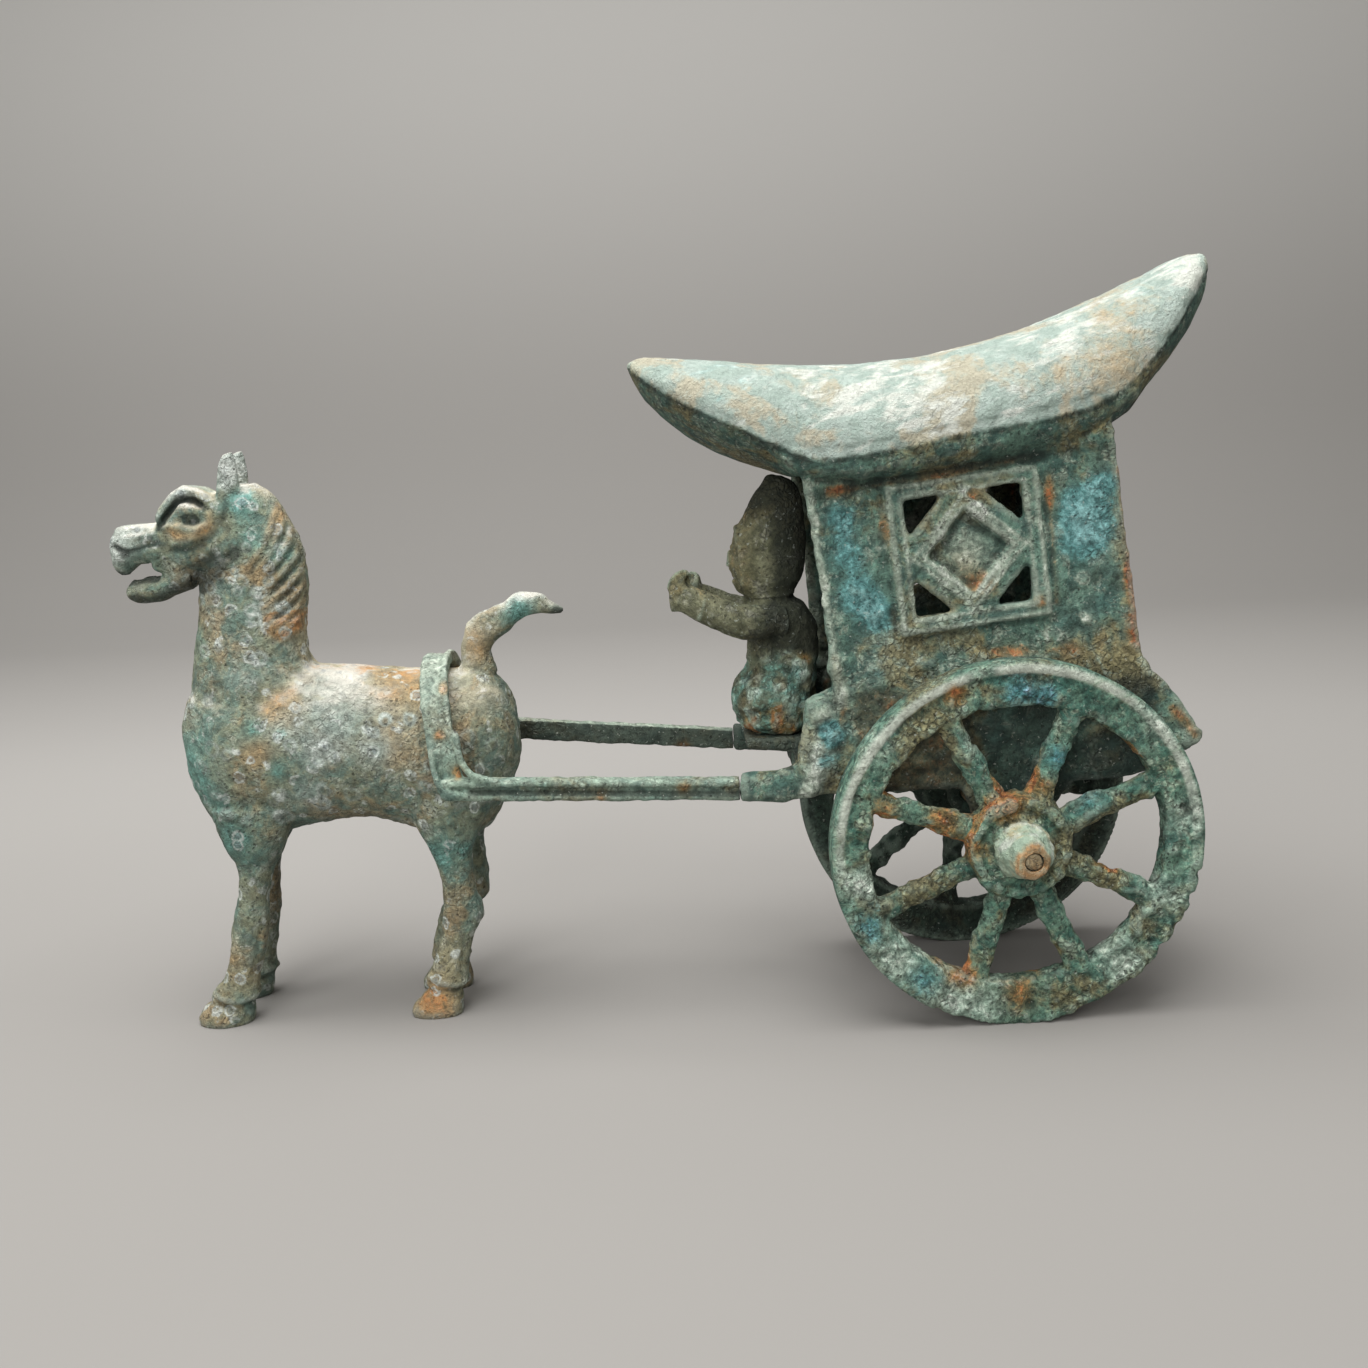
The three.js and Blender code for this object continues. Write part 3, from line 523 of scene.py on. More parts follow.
def patina(name, ground, pale, blue, rust, seed, lump_shading=0.8, net=0.6, speckle=0.3, pits=0.5, rings=0.0,
           bare=(0.0, 0.0, 0.0), bumps=1.3, cover=None, soft=0.35, depth=(0.42, 1.5)):
    """Layers of corrosion over a ground of several greens. Ground, pale, blue and rust are
    colour codes, the last three from a thin to a thick crust; bare is how much of those three
    layers shows everywhere. Cover holds the colours of a whitened part of the piece, soft is the
    strength of the thin tints under the crusts, and depth the darkest and the lightest of the
    painted shade and highlight on the crust's small lumps."""
    paint = Paint(name)
    step, coat, times = paint.step, paint.coat, paint.times
    tone = paint.node("Attribute", attribute_name="tone")
    split = paint.node("SeparateColor", {"Color": tone.outputs["Color"]})
    pale_map, blue_map, rust_map = (split.outputs[k] for k in range(3))
    relief = paint.node("Attribute", attribute_name="relief").outputs["Fac"]
    broad = paint.noise(22, seed, 4, 0.6, 0.5)
    middle = paint.noise(7, seed + 3.1, 7, 0.66, 0.6)
    patches = paint.noise(4.4, seed + 5.3, 7, 0.7, 0.7)
    small = paint.noise(2.3, seed + 7.7, 6, 0.68, 0.4)
    fine = paint.noise(0.9, seed + 11.3, 4, 0.72)
    shaken = paint.wander(1.6, 1.6, seed)
    colour = paint.mix(step(middle, 0.4, 0.58), ground[0], ground[1])
    colour = paint.mix(step(paint.sum(broad, middle, 0.5), 0.74, 0.88), colour, ground[2])
    colour = coat(colour, step(patches, 0.52, 0.62), 0.8, ground[3])
    for amount_map, code in ((rust_map, rust[0]), (blue_map, blue[0]), (pale_map, pale[0])):
        colour = coat(colour, step(paint.sum(amount_map, broad, 0.3), 0.16, 0.6), soft, code)

    def crust(under, amount_map, extra, codes, low, high, grains):
        """One crust over what is under it, ragged at its edge and brighter where it is thick."""
        amount = paint.sum(paint.sum(extra - 0.5, amount_map), grains)
        thick = step(paint.sum(amount, small, 0.8), high + 0.3, high + 0.62)
        return paint.mix(step(amount, low, high), under, paint.mix(thick, *codes))

    mingled = paint.sum(paint.sum(times(small, 0.3), patches, 0.5), middle, 0.2)
    colour = crust(colour, rust_map, bare[2], rust, 0.24, 0.44, mingled)
    colour = crust(colour, pale_map, bare[0], pale, 0.22, 0.48, mingled)
    colour = crust(colour, blue_map, bare[1], blue, 0.24, 0.46, mingled)
    colour = crust(colour, rust_map, bare[2] - 0.22, rust[::-1], 0.3, 0.46, patches)
    clear = 1.0
    if cover:
        over = paint.node("Attribute", attribute_name="cover").outputs["Fac"]
        strokes = paint.noise(5, seed + 41, 6, 0.64, 0.4, paint.brushed())
        wash = paint.mix(step(middle, 0.44, 0.56), cover[0], cover[1])
        for amount, low, high, code in (
            (paint.sum(broad, middle, 0.4), 0.7, 0.8, cover[2]),
            (paint.sum(blue_map, strokes), 0.62, 0.8, blue[1]),
            (paint.sum(pale_map, strokes), 0.56, 0.7, cover[3]),
            (paint.sum(rust_map, mingled), 0.7, 0.98, cover[4]),
        ):
            wash = paint.mix(step(amount, low, high), wash, code)
        colour = paint.mix(over, colour, wash)
        clear = paint.sum(1.0, over, -0.72)
    if rings:
        spots = paint.cells(paint.wander(2.4, 2.2, seed + 2), 5.8)
        where = step(middle, 0.42, 0.5)
        ring = paint.sum(step(spots, 0.16, 0.22), step(spots, 0.26, 0.36), -1.0)
        colour = coat(colour, times(ring, where, step(small, 0.36, 0.5), clear), rings, "#c9d0ca")
        colour = coat(colour, times(step(spots, 0.2, 0.12), where), rings * 0.7, "#8f979a")

    # Painted shade and highlight on the crust's small lumps: darker where the bump's height is low, lighter
    # where it is high
    height = paint.sum(paint.sum(small, fine, 0.5), patches, 0.35)
    levels = {"Value": height, "From Min": 0.76, "From Max": 1.1, "To Min": depth[0], "To Max": depth[1]}
    shade = paint.node("MapRange", levels).outputs["Result"]
    colour = paint.mix(times(clear, lump_shading), colour, shade, "MULTIPLY")
    netted = step(paint.sum(patches, broad, 0.6), 0.76, 0.92)
    crack = times(step(paint.cells(shaken, 1.9, "DISTANCE_TO_EDGE"), 0.22, 0.02), netted, clear)
    colour = coat(colour, crack, net, paint.mix(0.75, colour, GRIME_AND_SHADE))
    # Painted shade in hollows and a painted highlight on raised edges, found from the relief
    colour = coat(colour, step(relief, 0.44, 0.12), 0.62, GRIME_AND_SHADE)
    colour = coat(colour, step(relief, 0.58, 0.9), 0.38, pale[0])
    # The dark tone holds painted shade under things, behind parts and on far sides, and some grime; it is
    # laid on here
    dirt_and_shade = step(paint.sum(tone.outputs["Alpha"], patches, 0.6), 0.42, 1.05)
    colour = coat(colour, dirt_and_shade, 0.92, paint.mix(0.82, colour, GRIME_AND_SHADE))
    flecks = ((1.1, 20, 0.62, speckle, pale[1]), (1.0, 31, 0.6, speckle * 1.6, GRIME_AND_SHADE))
    for size, shift, low, strength, code in flecks:
        fleck = step(paint.noise(size, seed + shift, 3, 0.6), low, 0.69)
        colour = coat(colour, times(fleck, clear), strength, code)
    hole = times(step(paint.cells(shaken, 1.7), 0.28, 0.14), step(middle, 0.44, 0.6), clear)
    colour = coat(colour, hole, pits, GRIME_AND_SHADE)
    surface = paint.sum(paint.sum(height, hole, -0.4), crack, -0.3)
    bump = paint.node("Bump", {"Strength": 1.0, "Distance": bumps * MM, "Height": surface})
    paint.put(paint.shader.inputs["Base Color"], colour)
    paint.put(paint.shader.inputs["Roughness"], paint.sum(0.66, fine, 0.28))
    paint.put(paint.shader.inputs["Normal"], bump.outputs["Normal"])
    paint.shader.inputs["Metallic"].default_value = 0.04
    paint.shader.inputs["Specular IOR Level"].default_value = 0.4
    return paint.material


# Horse


def horse_body():
    barrel = limb([
        [-228.9, 87, -228.9, 77, 4], [-227.2, 93, -227.2, 68, 9.5], [-223.6, 98, -223.6, 59.5, 13.5],
        [-218, 101, -218, 53.8, 16.8], [-209, 102.2, -209, 52.4, 18.4], [-196, 102.3, -196, 55, 19],
        [-183, 101.4, -183, 56.8, 19.2], [-171, 100.2, -171, 55.2, 18.9], [-161, 99.4, -161, 51.5, 18.5],
        [-152, 99.2, -152, 50, 17.8], [-145, 99.6, -145, 51.8, 16], [-139.6, 96.4, -139.6, 59.5, 12.6],
        [-136, 90.5, -136, 67, 8.6], [-134.3, 83, -134.3, 73.5, 4],
    ], 16, 2.15, around=64)
    neck = limb([
        [-227.6, 86, -184, 88, 15], [-226.4, 96, -187.5, 98, 14.6], [-224.8, 106, -191.8, 106, 13],
        [-222.8, 115, -191.4, 116, 11.2], [-221.6, 123.5, -190, 125, 9.8], [-221, 131.5, -190.4, 133.5, 9],
        [-220, 139.5, -193.4, 142, 8.2], [-217, 147, -197.6, 149.4, 7.2], [-211.5, 151.5, -202.6, 153.2, 4.6],
    ], 12, around=56)
    skull = limb([
        [-204.2, 153.2, -204.8, 134, 5.6], [-209, 153, -210, 132, 7.4], [-214.5, 151.4, -216.5, 129.4, 8.4],
        [-219.8, 153.1, -222.4, 126.6, 8], [-223.8, 151.8, -227, 125.6, 7], [-227.2, 148.4, -230.8, 129, 6.2],
        [-230.2, 143.8, -233.6, 133, 5.7], [-236, 143.2, -237, 132, 5.5], [-241.2, 142.9, -241.4, 129.8, 5.7],
        [-243.8, 140.2, -243.4, 130.6, 4.5],
    ], 12, 2.3, around=48, step=0.5)
    jaw = limb([
        [-222, 133, -222.4, 124.6, 6.6], [-228, 129.6, -227.6, 123, 5.6], [-232.6, 128.2, -232, 121.2, 4.8],
        [-237, 127.6, -236.4, 121, 4.5], [-240.4, 126.6, -239.8, 121.8, 3.7],
        [-241.4, 125.4, -241.2, 123.8, 2],
    ], 10, step=0.5)
    tail = limb([
        [-150, 99, -139.2, 97.5, 5], [-149, 104.6, -141, 103.2, 4.2], [-147.2, 110.8, -138.8, 106.2, 4],
        [-142.8, 114.8, -135.6, 108.4, 3.8], [-136.6, 116.7, -132.4, 111.2, 3.5],
        [-132.4, 119.4, -129.6, 112.8, 3.3], [-126.6, 118.9, -125.4, 113.3, 2.8],
        [-122.4, 116.3, -121.8, 113, 2], [-119.9, 114.7, -119.9, 113.6, 0.9],
    ], 10, around=32)
    return [barrel, neck, skull, jaw, tail]


def horse_ear(side):
    return limb([
        [-213, 149, -206, 149, 2.4, side * 4.2], [-212.4, 154, -205.6, 154.4, 2.2, side * 4.4],
        [-211.4, 158.6, -206, 159.4, 1.9, side * 4.6], [-209.8, 161.3, -206.8, 162.2, 1, side * 4.7],
    ], 8, around=24, step=0.4)


def horse_leg(outline, lean, side):
    rows = np.asarray(outline, float)
    shift = profile(lean, rows[:, 2]) if side > 0 else np.zeros(len(rows))
    stations = [
        [x1 + dx, z, x2 + dx, z, half, side * LEG_Y]
        for (x1, x2, z, half), dx in zip(rows, shift)
    ]
    return limb(stations, 8, 2.3, around=36, step=0.6)


FORE_LEG = [
    [-230.2, -214.6, 0, 6.2], [-231.2, -214.2, 1.2, 6.3], [-228.6, -213.4, 5.4, 5.4],
    [-225.9, -213.4, 6.4, 4.6], [-227, -212.1, 7.8, 5.4], [-222.6, -211.6, 13, 4.9],
    [-219.8, -209.3, 21, 4.6], [-218.4, -207.3, 29.5, 4.9], [-216.2, -206.8, 37, 5.1],
    [-215.2, -204.6, 45, 5.8], [-218.6, -200.2, 53, 7.3], [-222.4, -197, 64, 8],
]
FORE_LEAN = [[0, 0], [12, -1], [30, -2.4], [45, -3], [64, -2]]
HIND_LEG = [
    [-169, -153.8, 0, 6], [-169.6, -153.4, 1.2, 6.1], [-166.2, -153.4, 5.4, 5.2], [-163.5, -153.4, 8, 4.5],
    [-164.6, -152, 9.4, 5.2], [-162.4, -151.3, 15, 4.8], [-159.4, -149.4, 23.5, 4.5], [-158.5, -145.8, 30, 5],
    [-157.9, -147.6, 37, 5.1], [-159.3, -148.2, 45, 5.7], [-162.9, -145.8, 53, 7.2],
    [-167.6, -139.4, 64, 8.2],
]
HIND_LEAN = [[0, 0], [12, -2.6], [22, -3.4], [28, -2], [34, 0.4], [42, 0.4], [52, 0], [64, 0]]

# Lines of the head in side view, each with the width and height of its stroke
HEAD_RIDGES = [
    ([(-229.1, 142.5), (-227.3, 146.3), (-224.4, 150), (-221.5, 151.5), (-218.3, 150.8), (-215.5, 149.3),
      (-213.4, 147.6)], 1.3, 1.15),
    ([(-228.8, 141.8), (-224.9, 142.2), (-221.7, 141.9), (-218.4, 141.3), (-215.9, 141.8),
      (-213.8, 143.9)], 1.2, 0.4),
    ([(-242.7, 142.1), (-237.4, 142.4), (-230.8, 141.8)], 1.1, 0.4),
    ([(-238.6, 139.3), (-234.2, 139.9), (-229.7, 140.6)], 1.0, 0.45),
    ([(-240, 136), (-233, 137), (-226.4, 136.8), (-220.4, 138.2), (-215.8, 141.2)], 1.6, 0.6),
    ([(-243.3, 131.1), (-240, 130.3), (-237.2, 131.1), (-234.5, 132.9), (-231.6, 131.7),
      (-230.7, 129.4)], 1.1, 0.7),
    ([(-231.5, 127.7), (-235.3, 128.1), (-237.5, 128), (-240, 126.2)], 1.0, 0.5),
    ([(-228, 128.2), (-221.6, 128.8), (-214.6, 131), (-208.8, 133.6)], 2.2, 0.6),
]
HEAD_GROOVES = [
    ([(-228.7, 142.2), (-226.3, 145.5), (-223.4, 149), (-221, 149.7), (-218.3, 149.2),
      (-215.3, 147.3)], 0.8, 1.0),
    ([(-229, 138.2), (-225.3, 136.2), (-221.5, 135.6), (-217.5, 136.6), (-213.4, 139.8), (-210.2, 144.4),
      (-209.1, 148)], 1.6, 0.5),
    ([(-242.2, 138), (-240.6, 136.9), (-239, 136)], 0.9, 0.55),
    ([(-239.2, 135.6), (-235.4, 136.4), (-229.4, 138)], 1.0, 0.5),
    ([(-227.1, 126.7), (-222.6, 130.3), (-218, 132), (-214.5, 133.6), (-210.1, 134.5), (-207.5, 135.7),
      (-205.1, 137.5)], 1.5, 0.35),
    ([(-244, 129.4), (-240, 128.8), (-236, 129.6), (-232, 128.6)], 1.0, 0.8),
    ([(-218.7, 124.9), (-217.7, 129.3), (-215.6, 130.9), (-211.3, 132.6), (-208.4, 134.1)], 1.3, 0.5),
]
MANE_RIDGES = [
    [(-196.5, 147.2), (-197.7, 142.1), (-199.4, 136.7), (-202.6, 132.5), (-204.7, 130.4)],
    [(-195, 145.8), (-196, 140.4), (-198, 134.5), (-201.1, 130.2), (-203.6, 127.6)],
    [(-192.9, 141.4), (-193.9, 136.5), (-196.9, 131.7), (-200.2, 128.5), (-202.5, 125)],
    [(-191.4, 136.9), (-192.4, 132.6), (-195.2, 129.4), (-198.8, 125.7), (-201.4, 122.2)],
    [(-189.9, 132.5), (-191.7, 128.2), (-195.1, 124.4), (-198.7, 121.3), (-201.1, 119.2)],
    [(-189.6, 127.5), (-191.8, 123.7), (-195.5, 120), (-198.8, 117.7), (-200.7, 116.1)],
    [(-189.4, 123.1), (-191.6, 119.9), (-195.2, 116.7), (-198.5, 114.3), (-200.6, 113)],
    [(-189.6, 119.2), (-191.4, 116.8), (-194.7, 114.1), (-197, 112.6), (-198.8, 111.8)],
    [(-190.3, 115.3), (-192.2, 113.5), (-195.2, 111.6), (-197.5, 110.6)],
]


def between(one, two):
    """The line midway between two lines, taken at even shares of their lengths."""
    shares = np.linspace(0, 1, 5)
    halves = []
    for line in (one, two):
        line = np.asarray(line, float)
        keys = np.concatenate([[0], np.cumsum(np.linalg.norm(np.diff(line, axis=0), axis=1))])
        halves.append(np.stack([np.interp(shares * keys[-1], keys, line[:, k]) for k in (0, 1)], axis=1))
    return (halves[0] + halves[1]) / 2


MANE_GROOVES = [between(one, two) for one, two in zip(MANE_RIDGES[:-1], MANE_RIDGES[1:])]
HOOF_LINES = (
    [(-225.8, 9), (-222.4, 7.3), (-217.5, 5.9), (-213, 6.9)],
    [(-163.2, 10.7), (-158.6, 9), (-155, 8), (-151, 8.6)],
)
EYE = (-219.3, 144.1)


def carve_horse(cast):
    for side in (-1, 1):
        for line, wide, high in HEAD_RIDGES:
            cast.stroke(line, wide, high * 1.5, side)
        cast.facing()
        for line, wide, deep in HEAD_GROOVES:
            cast.stroke(line, wide, -deep * 1.7, side)
        cast.lump(-219.5, 146.6, 1.7, 1.0, side, long=3.2, turn=-0.1)
        cast.lump(*EYE, 1.4, -1.0, side, long=3.4, turn=-0.1)
        cast.lump(*EYE, 0.9, 0.8, side, long=1.9)
        cast.lump(-230.8, 134.6, 1.5, 0.7, side, long=4)
        cast.facing()
        flank = cast.sided(side, edge=0.4) * (0.75 + 0.35 * noise(cast.p, 4, 14))
        for groove in MANE_GROOVES:
            cast.stroke(groove, 0.8, -0.5, side, taper=0.3, keep=flank)
        for line in MANE_RIDGES:
            cast.stroke(line, 1.1, 1.15, side, taper=0.3, keep=flank)
        cast.stroke([(-211.6, 152.4), (-210.4, 156.4), (-209, 159.6)], 1.3, -0.7, side)
        cast.facing()
        cast.stroke([(-222.5, 84.1), (-220.7, 91.8), (-217.4, 96.6), (-212.4, 98.4)], 2.2, -0.45, side)
        for line in HOOF_LINES:
            cast.stroke([(x, z + 1.3) for x, z in line], 1.0, 0.55, side, taper=0.02)
            cast.stroke([(x, z - 0.4) for x, z in line], 0.8, -0.6, side, taper=0.02)
        cast.stroke([(-208.2, 32.3), (-210.6, 22.8), (-212.7, 15.4), (-213.7, 9.4)], 0.9, -0.5, side)
        cast.stroke([(-150.5, 32), (-151.6, 24), (-153, 15), (-154.2, 10.4)], 0.9, -0.5, side)
    cast.facing()


# Each tone of the horse (0 pale, 1 blue, 2 rust, 3 dark) with its spots: x, z, radius and amount
HORSE_SPOTS = (
    (0, [
        # The first pale spot is a painted glint on the eye
        (-218.5, 143.7, 0.45, 2.5), (-238, 141, 7, 0.3), (-243, 136, 5, 0.25), (-222, 151, 4.5, 0.35),
        (-209, 157.5, 6, 0.6), (-198, 86, 6, 0.2), (-187, 80, 5, 0.25), (-171, 80, 6, 0.22),
        (-192.5, 68, 4, 0.2), (-161, 2, 5, 0.25), (-185, 98, 12, 0.16), (-176, 84, 14, 0.12),
        (-198, 116, 7, 0.15), (-133, 119, 4, 0.3), (-206, 104, 7, 0.12),
    ]),
    (1, [
        (-205.6, 148.6, 4, 0.42), (-222, 86, 9, 0.2), (-224, 74, 9, 0.2), (-221, 110, 7, 0.2),
        (-204.8, 87, 4, 0.35), (-197.5, 85.3, 3, 0.3), (-171.2, 79.9, 3, 0.3), (-198.7, 75.5, 3.5, 0.35),
        (-193.6, 68.2, 3, 0.25), (-211, 52, 8, 0.3), (-154, 50, 8, 0.3), (-231, 134, 4, 0.25),
        (-230, 125, 5, 0.2), (-132, 115, 6, 0.45), (-196, 134, 5, 0.2), (-216, 66, 8, 0.2),
        (-204, 138, 5, 0.2),
    ]),
    (2, [
        (-163.7, 97, 9, 0.34), (-155.8, 92.5, 7, 0.22), (-176, 96, 9, 0.16), (-204.1, 80, 5, 0.26),
        (-166, 76.9, 6, 0.26), (-151.4, 69.2, 4, 0.22), (-161, 4, 7, 0.6), (-157, 20, 8, 0.2),
        (-224, 4, 5, 0.2), (-216, 20, 9, 0.12), (-145, 105, 7, 0.26), (-215.6, 141, 3, 0.25),
        (-223, 140.5, 3, 0.2), (-168, 86, 5, 0.2), (-200, 96, 8, 0.15), (-205, 84, 9, 0.14),
        (-229, 141, 3, 0.12), (-178, 66, 6, 0.14),
    ]),
    # The dark spots under the jaw and throat, at the mouth and nostril and in the eye are painted shade
    (3, [
        (-216.5, 128, 4.5, 0.6), (-222, 126, 4, 0.45), (-121, 114, 3, 0.7), (-205, 130, 3, 0.25),
        (-213, 70, 13, 0.26), (-210, 40, 12, 0.24), (-222, 100, 5, 0.2), (-230, 123.5, 3.5, 0.4),
        (-238, 122.6, 3.5, 0.45), (-213, 131.5, 3, 0.3), (-242, 131, 2, 0.3), (-240.8, 137, 1.0, 0.4),
        (-236, 128.6, 2.5, 0.3), (-226, 62, 6, 0.2), (-220.7, 144.2, 1.3, 1.0), (-219.3, 144.1, 1.4, 1.0),
        (-217.9, 144, 1.3, 1.0),
    ]),
)
# Each tone with its lines, and the width and amount of each
HORSE_LINES = (
    # The dark lines in the mouth, under the jaw and along the grooves of the mane and head are painted shade
    (3, [(-240, 127), (-236, 127.8), (-231.6, 127.8)], 0.7, 1.0),
    (3, [(-238, 122), (-231, 121.6), (-222, 125), (-214, 129.6), (-207, 134.6)], 1.6, 0.5),
    (2, [(-225.4, 141.6), (-223.5, 139.8), (-218.4, 139.6), (-214, 142.6), (-213.8, 145.6)], 1.5, 0.24),
    *((2, line, 1.1, 0.34) for line in MANE_RIDGES),
    *((3, line, 0.7, 0.3) for line in MANE_GROOVES),
    *((3, groove[0], wide, amount) for groove, wide, amount in zip(
        HEAD_GROOVES, (1.1, 1.4, 1, 1.2, 1.4, 1, 1.4), (0.9, 0.45, 0.4, 0.5, 0.3, 0.6, 0.6))),
)


def stain_and_shade_horse(cast):
    x, y, z = cast.p.T
    up = cast.n[:, 2]
    back = smoothstep(up, 0.25, 0.9) * smoothstep(z, 88, 94)
    rump = smoothstep(x, -158, -150) * smoothstep(z, 84, 94) * (z < 112)
    cast.cover = np.clip(0.9 * back + 0.55 * rump, 0, 0.9) * cast.clouds(10, 18, -0.75, 0.1)
    belly = smoothstep(z, 70, 56) * smoothstep(z, 42, 50)
    warm = smoothstep(z, 70, 92) * (z < 118) + 0.7 * smoothstep(z, 40, 26)
    cast.pale += 0.08 * np.clip(up, 0, 1) + 0.1 * cast.clouds(9, 16, 0.1, 0.6)
    cast.blue += 0.14 * belly * cast.clouds(7, 19, -0.2, 0.4) + 0.1 * cast.clouds(12, 15, 0.1, 0.6)
    cast.rust += 0.22 * warm * cast.clouds(13, 17, -0.35, 0.5)
    # Painted shade on faces turned down, along the belly and on the far legs low down
    cast.dark += 0.24 * np.clip(-up, 0, 1) + 0.2 * belly + 0.25 * smoothstep(y, 2, 10) * smoothstep(z, 60, 40)
    cast.stain_and_shade_sides(HORSE_SPOTS, HORSE_LINES)


def make_horse():
    solids = horse_body()
    for side in (-1, 1):
        solids += [horse_ear(side), horse_leg(FORE_LEG, FORE_LEAN, side)]
        solids.append(horse_leg(HIND_LEG, HIND_LEAN, side))
    cast = Cast(solids, 0.6, focus=(-224, 0, 140, 26, 0.8))
    cast.smooth(2, 0.5)
    cast.fillet(24, 5.0)
    carve_horse(cast)
    cast.smooth(1, 0.35)
    body = smoothstep(np.abs(cast.p[:, 0] + 222) + np.abs(cast.p[:, 2] - 144), 30, 48)
    cast.rough(8, 0.3, 11, body)
    cast.rough(3, 0.24, 12, 0.4 + 0.6 * body)
    cast.rough(1.6, 0.18, 13, 0.45 + 0.55 * body)
    cast.nodules(56, 81, (-226, 56), (-140, 100), (1.0, 2.0), 0.36, 0.24)
    cast.nodules(40, 82, (-224, 100), (-190, 140), (0.9, 1.7), 0.32, 0.28)
    sole = (cast.p[:, 2] < 0.9) & (cast.n[:, 2] < -0.5)
    cast.p[sole, 2] = 0
    cast.facing()
    stain_and_shade_horse(cast)
    material = patina(
        "horse_patina",
        ground=("#697f73", "#868b73", "#9a8b6c", "#a2a998"), pale=("#a6b0a7", "#c8cdc6"),
        blue=("#669489", "#8cbab3"), rust=("#ad9269", "#b07b4b"), seed=1.0, rings=0.75,
        bare=(0.0, 0.0, -0.09), cover=("#bdb49a", "#cbc4ad", "#bfa57b", "#d8d4c8", "#b98a55"),
        soft=0.75, net=0.25,
    )
    cast.build("horse_bronze", "horse", "chassis", material)


# Carriage

ROOF_HALF = 29.5
ROOF_FRONT = -98.4
ROOF_REAR = 59.6
CROWN = [[-98.4, 181], [-94, 182.1], [-78, 181], [-61, 179.2], [-43, 178.1], [-27.5, 178.5], [-10.8, 180.7],
         [6, 184.3], [22.5, 189.9], [39, 196.8], [52.4, 202.5], [56.7, 203.1], [59.6, 200.4]]
RIM = [[-98.4, 180.4], [-94, 176.3], [-84, 169.8], [-73.6, 164.6], [-63, 159.2], [-54, 155], [-48.6, 153.6],
       [-37, 154.6], [-10.4, 158.9], [17, 163], [27.6, 166.8], [36, 173.2], [44.3, 182], [52, 192],
        [59.6, 199.6]]
WALL_OUT = 21  # the outer face of the cabin's wall stands further out than this
WINDOW_X, WINDOW_Z = -9.9, 128
WINDOW_TURN = math.radians(6.2)
WINDOW_LIFT = 2.5  # the far side's window was set a little higher
SQUARE = ((-1, -1), (1, -1), (1, 1), (-1, 1), (-1, -1))
DIAMOND = ((-1, 0), (0, -1), (1, 0), (0, 1), (-1, 0))
# Shape, reach, width and height of the lines round the pierced panel
PANEL_LINES = (
    (SQUARE, 19.3, 0.7, 0.45), (SQUARE, 16.2, 0.6, 0.3), (SQUARE, 21.6, 1.2, -0.3),
    (DIAMOND, 15, 0.8, 0.3), (DIAMOND, 12.2, 0.7, 0.4), (DIAMOND, 8.6, 1.0, -0.35),
)
CORNICE = [(-50.5, 144.4), (-24.3, 146.3), (7, 151.4), (27.8, 153.5)]
WALL_LINES = (
    ([(-33.1, 143.2), (-31.1, 131.8), (-29.5, 121.2), (-28, 108.6)], 1.2, 0.35),
    ([(-46, 100.6), (-15, 100.8), (18, 100.4), (36, 99.8)], 1.0, -0.4),
    ([(51.6, 77.9), (50.2, 74.6), (47, 72)], 1.8, 0.7),
)
WALL_LUMPS = (
    (-49.5, 85.3, 3.2, 1.5), (-50.7, 76.2, 3.4, 1.7), (-51.7, 69.8, 3, 1.5), (-53.2, 64.9, 2.6, 1.1),
    (50.8, 75.6, 1.1, -1.1), (-46.4, 80.4, 2.4, 1.1), (-47.6, 72.6, 2.2, 1.0), (-46.5, 97.9, 2.8, 0.9),
    (-40, 120, 5, 0.5), (-38.5, 134, 4, 0.5), (22, 128, 6, 0.4), (24, 142, 4, 0.4), (-20, 88, 7, 0.4),
    (12, 84, 8, -0.4),
)


def round_canopy(cast):
    """Draws the faceted top of the canopy onto its true curve."""
    x, y, z = cast.p.T
    middle = (ROOF_FRONT + ROOF_REAR) / 2
    s = np.abs(x - middle) / (ROOF_REAR - middle)
    half = ROOF_HALF * np.clip(1 - s**3, 0.0004, 1) ** 0.55
    inside = np.clip(x, ROOF_FRONT, ROOF_REAR)
    crown, rim = profile(CROWN, inside), profile(RIM, inside)
    up = np.clip((z - rim) / (crown - rim), 0, None)
    power = 2.1
    size = (np.abs(y / half) ** power + up**power) ** (1 / power)
    shell = (up > 0.12) & (size > 0.86) & (size < 1.15) & (cast.n[:, 2] > 0) & (x > -97) & (x < 58.5)
    grow = np.where(shell, 1 / np.clip(size, 0.5, 2), 1) - 1
    move = np.stack([0 * x, y * grow, (z - rim) * grow], axis=1)
    length = np.linalg.norm(move, axis=1, keepdims=True).clip(1e-9)
    cast.p = cast.p + move * np.minimum(1, 0.9 / length)
    cast.facing()


def above_rim(cast):
    """How far each point is above the canopy's rim."""
    return cast.p[:, 2] - profile(RIM, np.clip(cast.p[:, 0], ROOF_FRONT, ROOF_REAR))


def window_line(corners, reach, lift=0.0):
    """A closed line round the pierced panel, turned with it."""
    c, s = math.cos(WINDOW_TURN) * reach, math.sin(WINDOW_TURN) * reach
    return [(WINDOW_X + u * c - v * s, WINDOW_Z + lift + u * s + v * c) for u, v in corners]


def carve_carriage(cast):
    outside = np.abs(cast.p[:, 1]) > WALL_OUT
    for side in (-1, 1):
        cast.stroke(CORNICE, 1.6, -0.6, side, keep=outside)
        for corners, reach, wide, high in PANEL_LINES:
            line = window_line(corners, reach, WINDOW_LIFT if side > 0 else 0)
            cast.stroke(line, wide, high, side, taper=0, keep=outside)
        for line, wide, high in WALL_LINES:
            cast.stroke(line, wide, high, side, keep=outside)
        for px, pz, wide, high in WALL_LUMPS:
            cast.lump(px, pz, wide, high, side)
        cast.facing()


